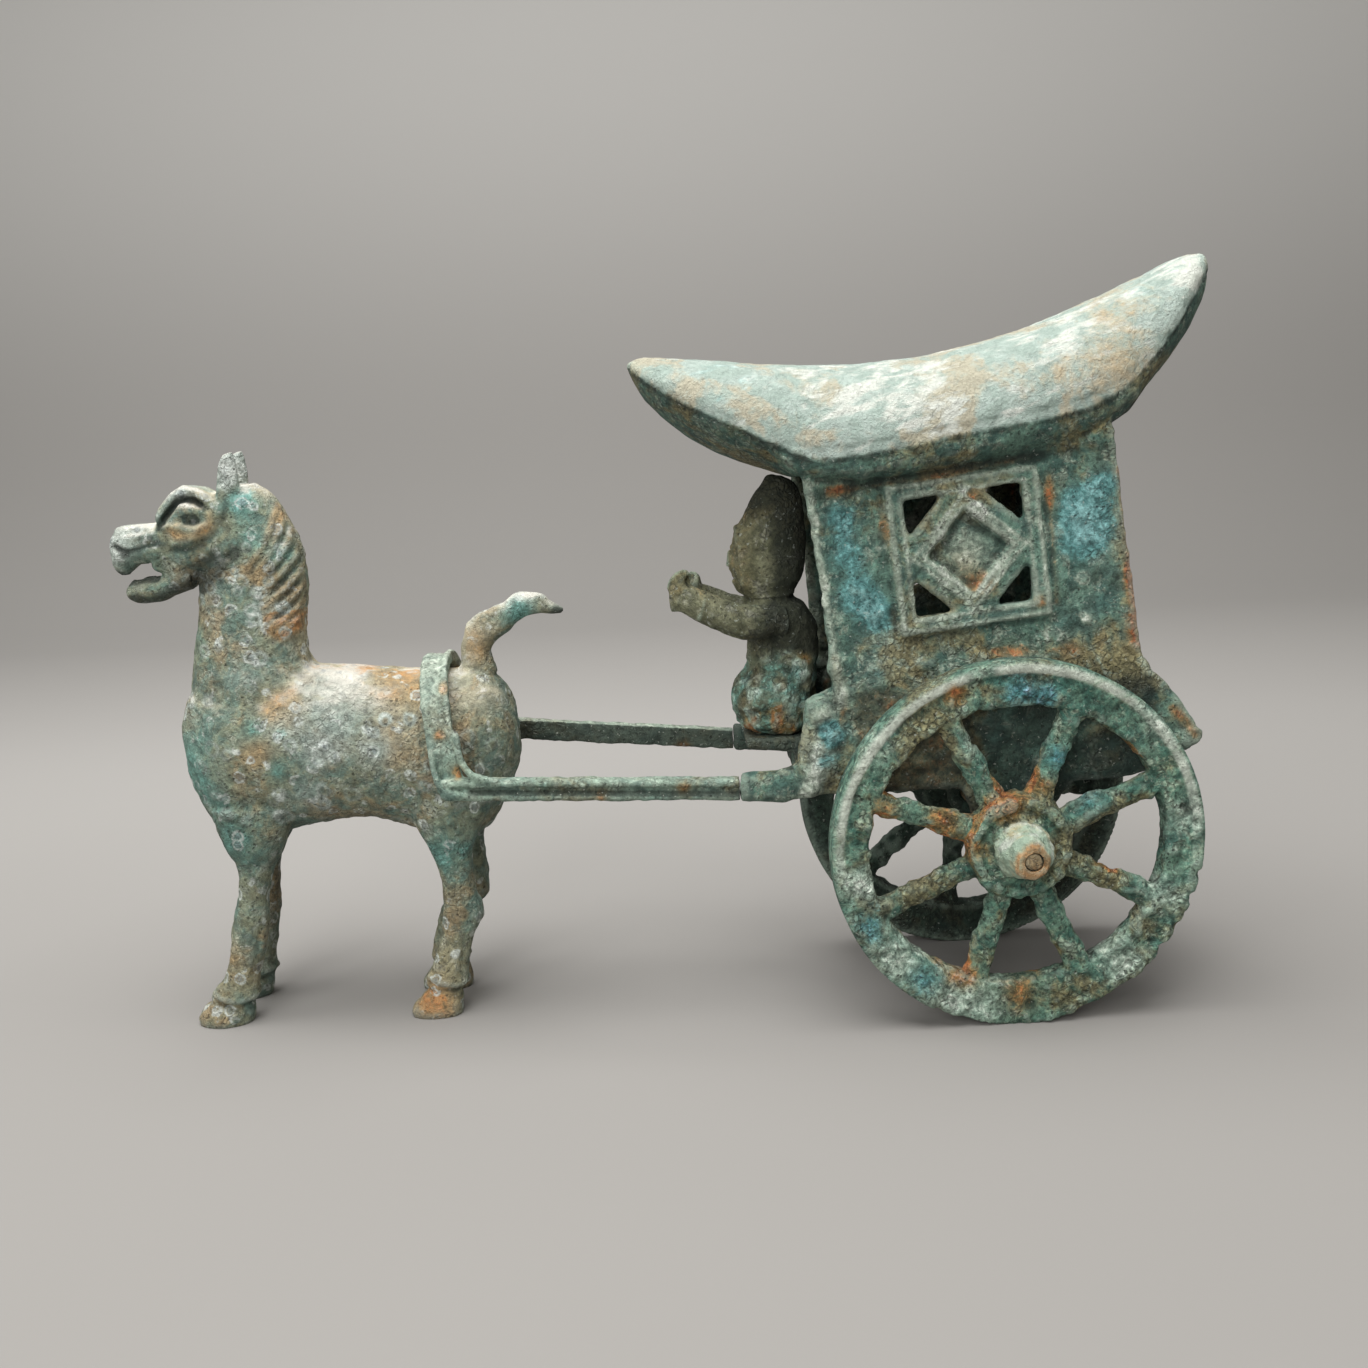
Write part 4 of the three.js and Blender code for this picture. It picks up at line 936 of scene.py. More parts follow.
def roughen_carriage(cast, roof):
    outer = (np.abs(cast.p[:, 1]) > 20.2) | (roof > 0.02)
    from_window = np.abs(cast.p[:, [0, 2]] - [WINDOW_X, WINDOW_Z]).max(axis=1)
    crusty = outer * (1 - 0.65 * roof) * (1 - 0.5 * smoothstep(from_window, 25, 19))
    cast.nodules(80, 83, (-52, 62), (48, 146), (0.8, 2.0), 0.45, 0.2)
    cast.facing()
    cast.rough(9, 0.3, 21, outer)
    cast.rough(3.4, 0.36, 22, crusty)
    cast.rough(1.9, 0.26, 23, 0.3 + 0.7 * crusty)
    cast.facing()


CARRIAGE_SPOTS = (
    (0, [
        (-25, 172, 16, 0.14), (18, 183, 14, 0.1), (52, 198, 8, 0.2), (-48, 172, 8, 0.08),
        (WINDOW_X, WINDOW_Z, 9, 0.34), (-49.5, 85.3, 4.5, 0.4), (-50.7, 76.2, 4.5, 0.44),
        (-51.7, 69.8, 4, 0.42), (-53.7, 64.3, 4, 0.4), (31, 134, 7, 0.16), (18, 112, 8, 0.14),
        (-36, 104, 6, 0.16), (-50, 120, 4, 0.15), (49, 77, 6, 0.24), (-42, 92, 5, 0.16), (26, 124, 9, 0.14),
        (-26, 100, 12, 0.1),
    ]),
    (1, [
        (-74, 173, 12, 0.12), (-8, 166, 9, 0.1), (38, 192, 8, 0.1), (-43.7, 138.5, 5, 0.46),
        (-42.1, 128.8, 6, 0.36), (-38.9, 117.1, 7, 0.48), (-33.7, 110.7, 5, 0.4), (-48.5, 82, 3.5, 0.34),
        (-49.5, 73, 3.5, 0.34), (-46.6, 79, 3, 0.3), (-34, 96.3, 5, 0.3), (17.5, 140.1, 6, 0.3),
        (26.2, 145, 5, 0.36), (19.3, 129.6, 7, 0.34), (-10.7, 107.9, 5, 0.24), (24, 112, 7, 0.22),
        (-45, 80, 7, 0.2), (20, 90, 7, 0.2), (24, 134, 9, 0.34), (-4, 138.6, 3, 0.2),
    ]),
    (2, [
        (28, 176, 13, 0.24), (-54, 161, 7, 0.2), (10, 171, 8, 0.16), (-36, 170, 5, 0.14),
        (WINDOW_X - 1, WINDOW_Z - 2, 7, 0.32), (-45, 145, 5, 0.26), (-9.1, 142.6, 3, 0.36),
        (12, 142, 4.5, 0.26), (8.8, 114.1, 3, 0.4), (0.8, 100.6, 6, 0.26), (17.7, 100.3, 6, 0.28),
        (32.6, 118.4, 5, 0.24), (35.5, 102.2, 5, 0.24), (26.1, 148.4, 5, 0.22), (-33.1, 97.1, 4, 0.3),
        (-8, 118, 4, 0.28), (-4, 119, 3, 0.26), (-33, 134, 4, 0.2), (-15, 146, 8, 0.14), (33, 106, 6, 0.2),
    ]),
    (3, [(-47, 88.6, 2.6, 0.5), (-53.4, 73, 2.2, 0.5), (-48, 67, 3, 0.4), (-45, 76, 2.4, 0.4)]),
)
CARRIAGE_LINES = (
    *((0, window_line(SQUARE, reach), 1.0, 0.32) for reach in (19.3, 16.4)),
    *((0, window_line(DIAMOND, reach), 0.9, 0.32) for reach in (15, 12.2)),
    (0, [(-51.7, 147.5), (-49.9, 132.6), (-47.7, 116.6), (-45.9, 102.2), (-44.4, 88.5)], 1.8, 0.3),
    (2, [(-15, 100.8), (18, 100.4)], 1.6, 0.16),
    (2, [(35.4, 102), (33.4, 118), (31.6, 132), (30.2, 147)], 1.8, 0.42),
    (2, [(-46, 145), (-24, 147), (6, 151.6)], 1.3, 0.26), (2, [(-46, 101), (-44, 88), (-46, 76)], 1.6, 0.34),
    (2, [(13.6, 113), (11, 147)], 1.2, 0.26), (2, [(45, 83), (51, 76)], 2.4, 0.4),
    (2, [(-27, 110), (-31, 130), (-33, 142)], 1.6, 0.22), (2, [(26, 100), (22, 112), (24, 124)], 2, 0.16),
    (3, CORNICE, 2.6, 0.34),
)


def stain_and_shade_carriage(cast):
    x, y, z = cast.p.T
    up = cast.n[:, 2]
    above = above_rim(cast)
    cast.cover = smoothstep(above, -0.8, 0.8) * smoothstep(up, -0.45, 0.0)
    cast.rust += cast.cover * (0.08 * cast.clouds(14, 25, 0.1, 0.6) + 0.14 * smoothstep(x, 0, 36))
    # Painted shade just under the canopy's rim, on faces turned down
    edge = bell(above + 0.6, 0.9) * (np.abs(y) > 2) * smoothstep(up, -0.9, -0.2)
    cast.dark += 0.55 * edge * cast.clouds(7, 26, -0.7, 0.1) * (z > 150)
    # Painted shade inside the cabin and on faces turned down
    inner = (np.abs(y) < 20.6) & (z < 168) & (x > -46) & (x < 40)
    cast.dark += 0.36 * smoothstep(up, 0.1, -0.5) + 0.4 * inner
    # A painted shadow of the wheels on the low wall behind them, with rust towards the front and pale and
    # blue crust towards the back
    skirt = smoothstep(z, 95, 90) * (np.abs(y) > 20) * smoothstep(np.abs(x - AXLE_X), 44, 38)
    cast.dark += skirt * (0.5 + 0.35 * smoothstep(x, -8, 12)) * cast.clouds(8, 27, -1, 0)
    cast.rust += 0.3 * skirt * smoothstep(x, 0, -14)
    cast.pale += 0.12 * skirt * smoothstep(x, -4, 12)
    cast.blue += 0.12 * skirt * smoothstep(x, -4, 12)
    # Painted shade on the low front ledge and on the far side's front end
    ledge = (x < -48) & (z < 81) & ((y > -17) | (x < -58)) & (z > 70.9)
    cast.dark += 0.7 * ledge + 0.95 * (y > 8) * (x < -46) * (z < 90)
    cast.stain_and_shade_sides(CARRIAGE_SPOTS, CARRIAGE_LINES)


def make_carriage():
    roll = bar([(50.2, -24.4, 75.8), (50.2, 24.4, 75.8)], [2.8, 2.8])
    cast = Cast([node_solid("carriage"), roll], 0.74)
    cast.smooth(2, 0.5)
    x, y, z = cast.p.T
    sockets = (np.abs(y) > 14) * (x < -61) * (z < 82) * smoothstep(x, -72.1, -71)
    cast.smooth(12, 0.6 * sockets)
    round_canopy(cast)
    cast.smooth(2, 0.4)
    roof = smoothstep(above_rim(cast), -1, 3)
    carve_carriage(cast)
    roughen_carriage(cast, roof)
    stain_and_shade_carriage(cast)
    material = patina(
        "carriage_patina",
        ground=("#45635a", "#668676", "#8d8560", "#9fae9c"), pale=("#abb7a6", "#d8ddd2"),
        blue=("#5b918f", "#86b5b4"), rust=("#94805a", "#b0673c"), seed=4.0, depth=(0.34, 1.62),
        bare=(0.04, 0.03, 0.03), cover=("#9aaaa0", "#a8b6ad", "#b1ac97", "#cccfc5", "#ae9c7c"),
    )
    cast.build("carriage_bronze", "carriage", "chassis", material)


# Driver


def driver_solids():
    figure = limb([
        [-68.5, 77.5, -51, 77.4, 10], [-72, 80, -49.8, 80, 11.8], [-73.4, 86, -49.2, 86, 12.8],
        [-72.2, 91.5, -48.8, 91.5, 12], [-69, 96.5, -48.2, 96.5, 10.4], [-68.4, 101, -47.8, 101, 9.4],
        [-68.6, 106, -48, 106, 10.2], [-69.4, 110, -49.6, 110, 11], [-69.4, 113.4, -52, 113.4, 9.6],
        [-68.6, 115.6, -54.6, 115.6, 7], [-71, 117, -54, 117, 7.6], [-72.6, 120.5, -51.8, 120.5, 8.5],
        [-73.5, 125.5, -50.8, 125.5, 8.8], [-72.4, 131, -50.4, 131, 8.4], [-69.4, 137, -50.8, 137, 7.2],
        [-66, 142.6, -51.6, 142.6, 5.8], [-62.6, 147, -53.6, 147, 3.8], [-61.2, 149, -56.8, 148.9, 1.8],
    ], 12, around=48, step=0.6)
    near_sleeve = bar([
        (-58, -8, 109.5), (-67, -10, 109.4), (-76, -9.6, 112.2), (-82.2, -8, 115.2), (-85.6, -6.6, 117),
    ], [4.2, 4.8, 4.5, 4.2, 4])
    near_fist = bar([
        (-86.8, -6.4, 113), (-87, -6.2, 117.4), (-86, -5.6, 121.4), (-83.8, -5, 123.4),
    ], [2.5, 2.9, 2.5, 1.6])
    far_sleeve = bar([
        (-58, 8, 109.5), (-67, 10, 109.4), (-75, 9, 112), (-81, 7.2, 115.4), (-84.2, 5.6, 117.2),
    ], [4.2, 4.8, 4.4, 3.7, 3])
    far_fist = ball(-82.6, 5, 119.4, 2.4, 2.3, 3.3)
    return [figure, near_sleeve, near_fist, far_sleeve, far_fist]


def make_driver():
    cast = Cast(driver_solids(), 0.45)
    cast.smooth(2, 0.5)
    cast.fillet(10, 5.0)
    front = {"side": -1, "axes": (1, 2), "axis": 0}
    cast.lump(0, 125.5, 6.4, -1.3, long=5, **front)
    cast.facing()
    hood = [(-5.6, 118.6), (-6.4, 124), (-5.4, 130), (-2.6, 134), (0, 135), (2.6, 134), (5.4, 130),
            (6.4, 124), (5.6, 118.6)]
    cast.stroke(hood, 0.9, 0.8, taper=0.03, **front)
    cast.stroke([(0, 129), (0, 124.2)], 0.9, 1.3, **front)
    cast.lump(0, 123.8, 1.1, 0.6, long=1.4, **front)
    for side in (-1, 1):
        cast.stroke([(side * 1.2, 129.4), (side * 3.8, 129.2)], 0.7, 0.5, **front)
        cast.lump(side * 2.5, 127.2, 0.8, -0.5, long=1.3, **front)
        cast.lump(side * 2.5, 127.1, 0.5, 0.3, long=0.9, **front)
    cast.stroke([(-2.1, 120.9), (0, 120.7), (2.1, 120.9)], 0.5, -0.5, **front)
    cast.stroke([(-1.6, 120), (0, 119.7), (1.6, 120)], 0.6, 0.3, **front)
    cast.facing()
    for side in (-1, 1):
        cast.stroke([(-70, 116.4), (-66.2, 115.9), (-57.4, 116), (-53.5, 117)], 0.8, 0.7, side)
        cast.stroke([(-69, 114.4), (-62, 113.8), (-54, 114.6)], 0.8, -0.5, side)
        cast.stroke([(-58, 112.5), (-60.5, 106), (-62, 99), (-60.5, 91)], 1.3, -0.6, side)
        cast.stroke([(-64.5, 105.8), (-71, 105.4), (-78, 108.6)], 1.0, -0.5, side)
        cast.stroke([(-79.4, 117.6), (-80.6, 113.6), (-81.8, 110.6)], 0.8, 0.5, side)
        cast.stroke([(-70.5, 93), (-64, 95.4), (-56, 94.6), (-50, 96)], 1.2, -0.4, side)
        cast.stroke([(-71.6, 84), (-64, 86.6), (-55, 85.4)], 1.4, 0.4, side)
    cast.lump(-83, 121.6, 1.5, -1.5, -1, long=1.7)
    cast.smooth(1, 0.3)
    lap = smoothstep(cast.p[:, 2] + 3.5 * noise(cast.p, 5, 37), 104, 96)
    cast.rough(4, 0.2, 31, 1 + 1.6 * lap)
    cast.rough(2.0, 0.18, 32, 1 + 1.8 * lap)
    cast.rough(1.1, 0.1, 33, 1 + lap)
    cast.facing()
    stain_and_shade_driver(cast, lap)
    material = patina(
        "driver_patina",
        ground=("#5b5d46", "#77785f", "#696348", "#929280"), pale=("#a9bfae", "#dbe3da"),
        blue=("#5a9085", "#8cbab0"), rust=("#85754a", "#a87548"), seed=9.0,
        bare=(-0.08, -0.08, -0.02), bumps=1.2, lump_shading=0.75, soft=0.2,
    )
    cast.build("driver_bronze", "driver", "chassis", material)


def stain_and_shade_driver(cast, lap):
    """Mint crust over the lap, rust along the face and at the foot, painted shade behind, under the arms and
    on faces turned down, and a darker hood top.
    """
    x, _, z = cast.p.T
    up = cast.n[:, 2]
    near = cast.sided(-1, edge=0.0)
    cast.pale += 0.48 * lap * cast.clouds(3.2, 35, -0.4, 0.3) + 0.14 * np.clip(up, 0, 1)
    cast.blue += 0.42 * lap * cast.clouds(4, 34, -0.6, 0.3)
    cast.rust += 0.3 * smoothstep(x, -62, -68) * smoothstep(z, 112, 118) * cast.clouds(7, 38, -0.6, 0.3)
    cast.rust += 0.4 * smoothstep(z, 90, 80) * cast.clouds(3.6, 36, -0.3, 0.3)
    cast.stain_and_shade(2, [(-60, 85, 4, 0.5), (-53, 98, 3.4, 0.5), (-69, 81, 4, 0.4), (-52, 88, 4, 0.3)], near)
    # Painted shade on the figure's back against the cabin, on faces turned down and under the arms; the
    # hood's top is darkened as well
    behind = np.maximum(smoothstep(x, -66, -54), smoothstep(z, 134, 146))
    cast.dark += 1.1 * behind * smoothstep(z, 96, 108) + 0.3 * np.clip(-up, 0, 1)
    cast.dark += 0.5 * smoothstep(z, 117, 112) * (1 - lap) * smoothstep(x, -72, -64)
    cast.dark += 0.4 * lap * cast.clouds(3.4, 39, 0.1, 0.6)


# Shafts and strap

SHAFT_END = -72.62  # where the shafts meet the carriage's sockets


def make_shafts():
    solids = [node_solid("shafts")]
    rear = [(-148.9, -21.9, 84.5), (-148.2, -22.8, 78.5), (-146.4, -23.7, 74.6), (-143.2, -24.5, 72.4),
            (-138, -24.7, 71)]
    front = [(-156, -22, 80), (-155.4, -22.9, 75), (-153.8, -23.8, 70.4), (-150, -24.5, 68),
             (-144, -24.7, 67.2)]
    solids += [bar(rear, [0.8, 1.0, 1.1, 1.1, 0.9]), bar(front, [0.7, 0.9, 1.1, 1.1, 0.9])]
    cast = Cast(solids, 0.4)
    cast.smooth(3, 0.5)
    cast.fillet(8, 5.0)
    x = cast.p[:, 0]
    reaching = np.minimum(x + 0.4 * smoothstep(x, -75, -73), SHAFT_END)
    cast.p[:, 0] = np.where(x > -75, reaching, x)
    cast.facing()
    cast.rough(6, 0.14, 41)
    cast.rough(2.4, 0.2, 42)
    cast.rough(1.3, 0.12, 43)
    cast.facing()
    stain_and_shade_shafts(cast)
    material = patina(
        "shaft_patina",
        ground=("#688176", "#8a9f8e", "#7f7f66", "#a2b2a1"), pale=("#aeb8a8", "#d0d4c8"),
        blue=("#5a958c", "#84bab6"), rust=("#9b8358", "#ad7345"), seed=13.0, bare=(0.0, 0.0, 0.02),
        bumps=1.1, lump_shading=0.8, soft=0.4, speckle=0.4,
    )
    cast.build("shafts_bronze", "shafts", "chassis", material)


def stain_and_shade_shafts(cast):
    """Pale upper faces, painted shade in a groove along the near shaft and on faces turned down, and a far
    shaft painted dark as shade with a painted light along its top.
    """
    x, y, z = cast.p.T
    up = cast.n[:, 2]
    band = smoothstep(x, -143, -149)
    near, far = (1 - band) * (y < 0), (1 - band) * (y > 8)
    cast.pale += 0.24 * band * smoothstep(z, 66, 84) + 0.14 * np.clip(up, 0, 1)
    # The far shaft gets painted light along its top and painted shade below it
    cast.pale += 0.16 * far * smoothstep(up, 0.5, 0.9) + 0.1 * near
    # Painted shade in the near shaft's groove and on faces turned down
    groove = bell(z - (68.4 - 0.05 * (x + 146)), 0.9)
    cast.dark += 0.9 * groove * near + 0.3 * np.clip(-up, 0, 1)
    cast.dark += far * (0.3 * smoothstep(up, 0.9, 0.5) + 0.9 * smoothstep(up, 0.8, 0.3))
    cast.rust += 0.16 * far
    rusty = [(-152, 96, 2.5, 0.5), (-153.5, 84, 2.5, 0.45), (-149, 74, 3, 0.4), (-110, 66, 3, 0.35),
             (-88, 67, 3, 0.4)]
    cast.stain_and_shade(2, rusty, cast.sided(-1, edge=0.0))
    cast.stain_and_shade(1, [(-126, 70, 4, 0.25), (-96, 65, 4, 0.25)], cast.sided(-1, edge=0.0))


# Wheels, made about their own axis with the outside towards -Y

RIM_DEPTH = 11.9
RIM_OVAL = 0.055
RIM_HALF = 4
NEAR_SPOKES = (20, [2, 2.4, 8.2, 5, 4, 7.5, 6, 1])
FAR_SPOKES = (39, [0, 2, -1, 1, 1.4, -1, 1, 3])
NEAR_CHIPS = [[-12, 1.9], [-20, 2.6], [-25, 1.2], [-30, 2.0], [-38, 2.6], [-46, 1.7], [-52, 1.2]]
# Thick corrosion on the near wheel: the angle and distance from its middle, its width and height
CRUSTS = [[-38, 39, 3, 1.0], [-30, 40, 2.4, 0.9], [-46, 38.4, 2.6, 0.9], [22, 18, 4, 1.3], [26, 24, 3.5, 1.1],
          [112, 40, 4, 0.8], [70, 38, 5, 0.9], [92, 40, 4, 0.9], [115, 28, 3, 0.7], [-122, 44, 5, 0.7],
          [-100, 40, 4, 0.6], [-76, 42, 4, 0.5], [160, 16, 4, 0.8], [120, 14, 5, 0.9], [60, 14, 4, 0.7],
          [8, 46, 1.2, -1.2], [11, 45, 0.9, -1.0], [5, 47.4, 0.9, -0.9], [-4, 44, 1.1, -0.7],
          [-86, 45, 1.2, -0.8]]
BORE = AXLE_R + 0.4
MOUTH = AXLE_R + 0.22  # corrosion narrows the outer end
HUB_BACK = 4.6


def wheel_solids(spokes):
    inner = WHEEL_R - RIM_DEPTH
    felloe_points, felloe_faces = lathe([
        [WHEEL_R, RIM_HALF], [WHEEL_R, -3.2], [WHEEL_R - 0.9, -RIM_HALF], [WHEEL_R - 2.8, -RIM_HALF],
        [WHEEL_R - 3.5, -3.3], [inner + 0.8, -3.3], [inner, -2.4], [inner, RIM_HALF - 0.6],
        [inner + 0.6, RIM_HALF],
    ], 240)
    r = np.hypot(felloe_points[:, 0], felloe_points[:, 2])
    grow = np.where(r < inner + 2, 1 + RIM_OVAL * (felloe_points[:, 0] / r) ** 2, 1)
    felloe_points[:, [0, 2]] *= grow[:, None]
    hub = lathe([
        [BORE, HUB_BACK], [BORE, -16.6], [MOUTH, -17.4], [MOUTH, -HUB_TIP], [3.9, -HUB_TIP], [4.6, -17.2],
        [5.2, -15.4], [6, -12.2], [8.4, -5.8], [10.6, -5.2], [11.4, -6.4], [13.2, -6], [14, -4.2],
        [14, 1.5], [12, HUB_BACK],
    ], 96)
    turn, sway = spokes
    bars = []
    for i, extra in enumerate(sway):
        angle = math.radians(turn + extra + 360 * i / len(sway))
        c, s = math.cos(angle), math.sin(angle)
        path = [(d * c, -0.4, d * s) for d in (11, 20, 31, 41)]
        bars.append(bar(path, [3.55, 3.25, 3.25, 3.7], 0.8, around=24))
    return [(felloe_points, felloe_faces), hub, *bars]


def on_circle(degrees, reach):
    """The x and z of a point on a circle round the axle."""
    return reach * math.cos(math.radians(degrees)), reach * math.sin(math.radians(degrees))


def wear_wheel(cast, chips, side, seed):
    """Chips, crust and roughness, then the bore and the tread drawn back to their sizes."""
    x, y, z = cast.p.T
    r = np.hypot(x, z)
    turn = np.degrees(np.arctan2(z, x))
    tread = (r > WHEEL_R - 0.6) & (np.abs(y) < RIM_HALF - 0.2)
    for degrees, size in chips:
        px, pz = on_circle(degrees, WHEEL_R + size * 0.35)
        far = np.linalg.norm((cast.p - [px, -RIM_HALF, pz]) / [1, 1.3, 1], axis=1)
        inside = far < size
        outward = np.column_stack([x, 0 * y, z])[inside] / r[inside, None]
        cast.p[inside] -= outward * (size - far[inside])[:, None]
    cast.facing()
    worn = noise(cast.p, 11, seed)
    bead = smoothstep(r, 45.8, 47.2) * smoothstep(z, -22, 12)
    calm = (1 - 0.7 * bead) * smoothstep(cast.p[:, 1], 5, 2)
    for degrees, reach, wide, high in CRUSTS if side < 0 else []:
        px, pz = on_circle(degrees, reach)
        away = np.hypot(cast.p[:, 0] - px, cast.p[:, 2] - pz)
        cast.push(high * bell(away, wide) * smoothstep(cast.p[:, 1], 3.5, 0))
    cast.facing()
    cast.rough(8, 0.35, seed + 1, calm)
    cast.rough(3.6, 0.6, seed + 2, calm)
    cast.rough(2.0, 0.45, seed + 3, calm)
    cast.facing()
    cast.rough(1.2, 0.2, seed + 4, calm)
    r = np.hypot(cast.p[:, 0], cast.p[:, 2]).clip(0.1)
    bore = (r < BORE + 0.7) & (cast.p[:, 1] > -HUB_TIP + 0.2) & (cast.p[:, 1] < HUB_BACK - 0.2)
    hole = np.where(cast.p[:, 1] < -17, MOUTH, BORE)
    whole = tread & (worn > -0.5) & ((turn < -120) | (turn > -8) | (side > 0))
    whole |= tread & (turn < -80) & (turn > -100)
    scale = np.where(whole, WHEEL_R / r, np.where(bore, hole / r, np.minimum(1, WHEEL_R / r)))
    cast.p[:, [0, 2]] *= scale[:, None]
    cast.p[:, 1] = np.clip(cast.p[:, 1], -HUB_TIP, HUB_BACK)
    cast.facing()


WHEEL_SPOTS = (
    (0, [
        (-42, -8, 6, 0.46), (-34, -30, 9, 0.38), (40, -16, 8, 0.3), (28, -34, 8, 0.36), (-12, 30, 6, 0.26),
        (-8, -44, 9, 0.28), (44, 6, 7, 0.3), (-20, -42, 7, 0.34), (36, 30, 6, 0.26), (-36, 28, 6, 0.2),
    ]),
    (1, [
        (0, 42, 7, 0.4), (-14, 38, 4, 0.2), (18, 14, 8, 0.35), (-40, -20, 9, 0.34), (10, 24, 5, 0.35),
        (-26, -36, 9, 0.34), (40, 0, 7, 0.2), (8, 40, 5, 0.3),
    ]),
    (2, [
        (-4, 12, 6, 0.45), (-20, 8, 6, 0.4), (-36, 12, 5, 0.35), (-34, -20, 5, 0.25), (-16, -36, 6, 0.45),
        (0, -42, 8, 0.35), (-17, 42, 4, 0.5), (6, 16, 4, 0.35), (30, 22, 5, 0.25), (-12, 0, 4, 0.35),
        (26, -6, 5, 0.25), (40, 20, 4, 0.2),
    ]),
)


def stain_and_shade_near_wheel(cast, seed):
    """Pale crust with a painted highlight on the outer bead's upper half, rust at the hub's top and roots, a
    blue patch at the top and painted shade on the inner face.
    """
    x, y, z = cast.p.T
    r = np.hypot(x, z)
    high = smoothstep(z, -20, 14)
    bead = smoothstep(r, 46.2, 47.2) * smoothstep(r, 50, 48.6) * smoothstep(y, -2.6, -3.4)
    nozzle = smoothstep(y, -6.4, -8.4) * (r < 10)
    # The outer bead's upper half is pale crust and a painted highlight
    cast.cover = np.clip(0.85 * (bead * high * cast.clouds(9, seed + 5, -0.8, -0.2) + nozzle), 0, 1)
    for tone, spots in WHEEL_SPOTS:
        cast.stain_and_shade(tone, spots)
    cast.pale += 0.22 * bead * high + 0.14 * np.clip(cast.n[:, 2], 0, 1)
    mouth = smoothstep(y, -14.6, -17.6) * (r < 9)
    cast.rust += 0.4 * mouth * cast.clouds(4, seed + 9, -0.5, 0.6)
    cast.rust += 0.12 * smoothstep(r, 11, 9) * smoothstep(z, 6, -4)
    edges = smoothstep(np.hypot(cast.n[:, 0], cast.n[:, 2]), 0.5, 0.9) * (r > 13) * (r < 40)
    cast.rust += 0.24 * edges * cast.clouds(6, seed + 6, -0.3, 0.3)
    cast.dark += 0.4 * smoothstep(r, 36, 39) * smoothstep(r, 46, 44) * cast.clouds(5, seed + 8, 0.1, 0.9)
    # Painted shade on the wheel's inner face, towards the carriage
    cast.dark += 0.45 * smoothstep(y, -1, 3)


def make_wheel(node, body, slot, spokes, chips, side, voxel, seed):
    """One wheel; side is -1 for the near one and 1 for the far one."""
    cast = Cast(wheel_solids(spokes), voxel)
    cast.smooth(2, 0.5)
    wear_wheel(cast, chips, side, seed)
    near = side < 0
    if near:
        stain_and_shade_near_wheel(cast, seed)
    else:
        # The far wheel is painted darker all over as shade, with the shaded copy of the ground colours below
        cast.dark += 0.35
        cast.pale += 0.2 * smoothstep(np.hypot(cast.p[:, 0], cast.p[:, 2]), 44, 48)
        cast.p[:, 1] *= -1
        cast.quads = cast.quads[:, ::-1]
    cast.p[:, 1] += side * TRACK / 2
    c, s = math.cos(AXLE_SKEW), math.sin(AXLE_SKEW)
    cast.p = cast.p @ np.array([[c, s, 0], [-s, c, 0], [0, 0, 1]]) + [AXLE_X, 0, WHEEL_R]
    green = ("#456e60", "#6f917d", "#878360", "#a1b29b")
    shaded = ("#2f4138", "#3f5346", "#454838", "#566b5b")
    material = patina(
        slot.replace("bronze", "patina"), ground=green if near else shaded,
        pale=("#adc1b0", "#d8dfd3"), blue=("#4d8a8c", "#86a5b6"), rust=("#99804f", "#b37043"),
        seed=17.0 + seed, speckle=0.35, pits=0.7, bare=(0.06, 0.02, 0.05) if near else (0, 0, 0),
        bumps=1.7, lump_shading=0.95, net=0.75,
        depth=(0.3, 1.72), cover=("#a9bda7", "#bccab2", "#c3bb98", "#d0d6c8", "#ab875c") if near else None,
    )
    cast.build(node + "_bronze", node, body, material)


def make_axle():
    """The rod through both hubs, its ends hammered a little domed."""
    cast = Cast([node_solid("axle")], 0.4)
    cast.smooth(3, 0.5)
    cast.rough(1.6, 0.12, 71)
    cast.facing()
    cast.rust += 0.25
    material = patina(
        "axle_patina", ground=("#938262", "#a99b7b", "#8f7450", "#bbb296"), pale=("#c9c2a8", "#dcd6c0"),
        blue=("#6f9a92", "#90b3ab"), rust=("#8a6f4c", "#a06c44"), seed=23.0, bare=(0.06, -0.3, 0.0),
    )
    cast.build("axle_bronze_rod", "axle", "chassis", material)


# The floor with its curved backdrop, the light and the camera

FLOOR_FRONT, FLOOR_BACK = -1.6, 0.75
BACKDROP_BEND = 0.55
BACKDROP_TOP = 2.4
CAMERA_PLACE = (-85.01, -405.63, 166.77)  # in layout millimetres
CAMERA_TURN, CAMERA_TILT, CAMERA_ROLL = 0.22, 79.45, -2.54  # in degrees
SENSOR, LENS = 36, 38.16


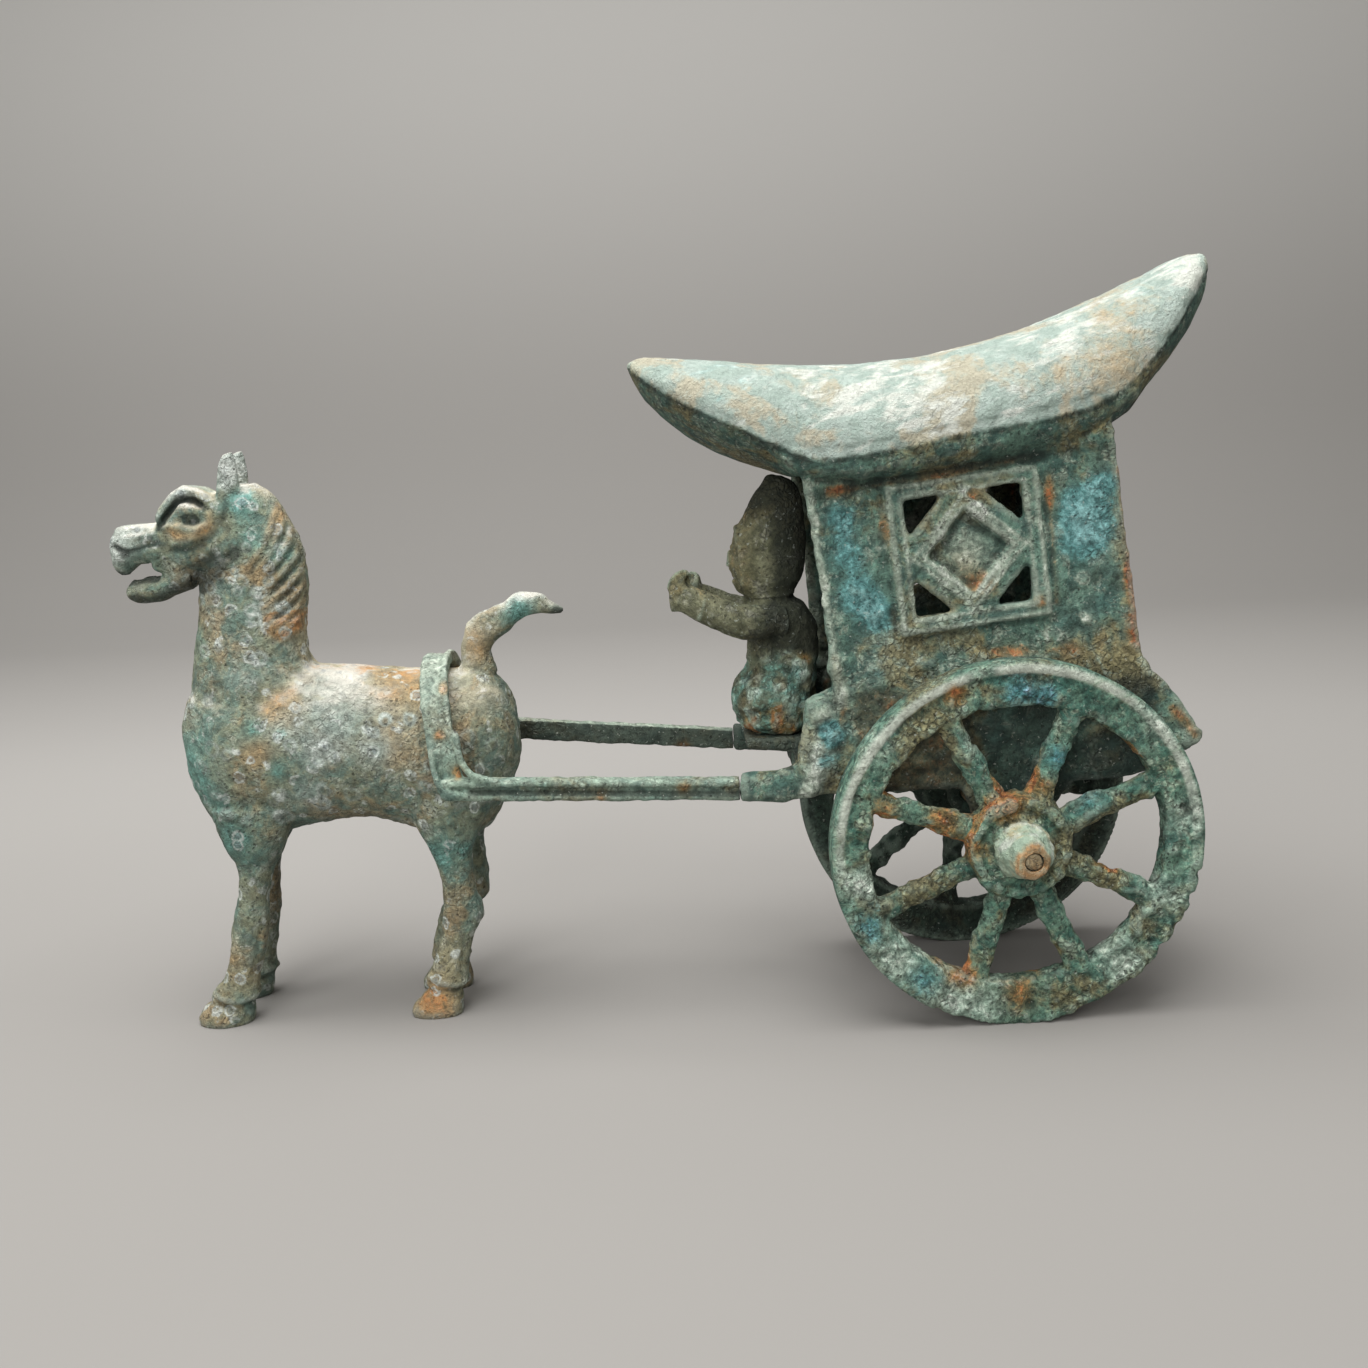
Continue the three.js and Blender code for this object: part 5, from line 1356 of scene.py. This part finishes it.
def make_stage():
    outline = [(FLOOR_FRONT, 0.0), (FLOOR_BACK, 0.0)]
    for i in range(1, 13):
        a = math.radians(90 * i / 12)
        outline.append((FLOOR_BACK + BACKDROP_BEND * math.sin(a), BACKDROP_BEND * (1 - math.cos(a))))
    outline.append((FLOOR_BACK + BACKDROP_BEND, BACKDROP_TOP))
    count = len(outline)
    points = [(x, y, z) for x in (-3.0, 3.0) for y, z in outline]
    faces = [(i, i + 1, count + i + 1, count + i) for i in range(count - 1)]
    mesh = bpy.data.meshes.new("backdrop")
    mesh.from_pydata(points, [], faces)
    mesh.polygons.foreach_set("use_smooth", [True] * len(mesh.polygons))
    backdrop = new_object("backdrop", mesh)
    paint = Paint("backdrop_paper")
    # Painted light on the paper: darker on the floor near the object, lighter farther back and lighter still
    # up the backdrop
    paper = paint.mix(paint.noise(180, 2.0, 1), "#8a8783", "#8f8c88")
    _, back, height = paint.node("SeparateXYZ", {0: paint.place}).outputs
    paper = paint.mix(paint.step(back, -60, 380), paper, "#a4a19d")
    paper = paint.mix(paint.step(height, 120, 640), paper, "#d2d0cc")
    paint.put(paint.shader.inputs["Base Color"], paper)
    paint.shader.inputs["Roughness"].default_value = 0.95
    mesh.materials.append(paint.material)


def soft_light(name, place, aim, size, power):
    light = bpy.data.lights.new(name, "AREA")
    light.shape = "RECTANGLE"
    light.size, light.size_y = size
    light.energy = power
    obj = new_object(name, light)
    obj.location = place
    obj.rotation_euler = (Vector(aim) - obj.location).to_track_quat("-Z", "Y").to_euler()


def make_light():
    world = bpy.data.worlds.new("studio")
    bpy.context.scene.world = world
    world.use_nodes = True
    back = world.node_tree.nodes["Background"]
    back.inputs["Color"].default_value = tint("#e9e8e4")
    back.inputs["Strength"].default_value = 0.25
    soft_light("overhead", (-0.1, -0.12, 1.0), (0, 0, 0.05), (1.0, 0.8), 17.5)
    soft_light("front", (-0.5, -1.2, 0.7), (0, 0, 0.1), (0.9, 0.7), 11)
    bpy.context.scene.view_settings.view_transform = "Standard"


def make_camera():
    data = bpy.data.cameras.new("camera")
    data.sensor_width = SENSOR
    data.lens = LENS
    data.clip_start, data.clip_end = 0.01, 20
    camera = new_object("camera", data)
    x, y, z = CAMERA_PLACE
    place = Matrix.Translation(((SHIFT_X + x) * MM, y * MM, z * MM))
    turn = Matrix.Rotation(math.radians(CAMERA_TURN), 4, "Z")
    tilt = Matrix.Rotation(math.radians(CAMERA_TILT), 4, "X")
    roll = Matrix.Rotation(math.radians(CAMERA_ROLL), 4, "Z")
    camera.matrix_world = place @ turn @ tilt @ roll
    bpy.context.scene.camera = camera


make_horse()
make_carriage()
make_driver()
make_shafts()
make_wheel("wheel_left", "near_wheel", "wheel_bronze", NEAR_SPOKES, NEAR_CHIPS, -1, 0.46, 51)
make_wheel("wheel_right", "far_wheel", "far_wheel_bronze", FAR_SPOKES, [], 1, 0.75, 61)
make_axle()
make_stage()
make_light()
make_camera()
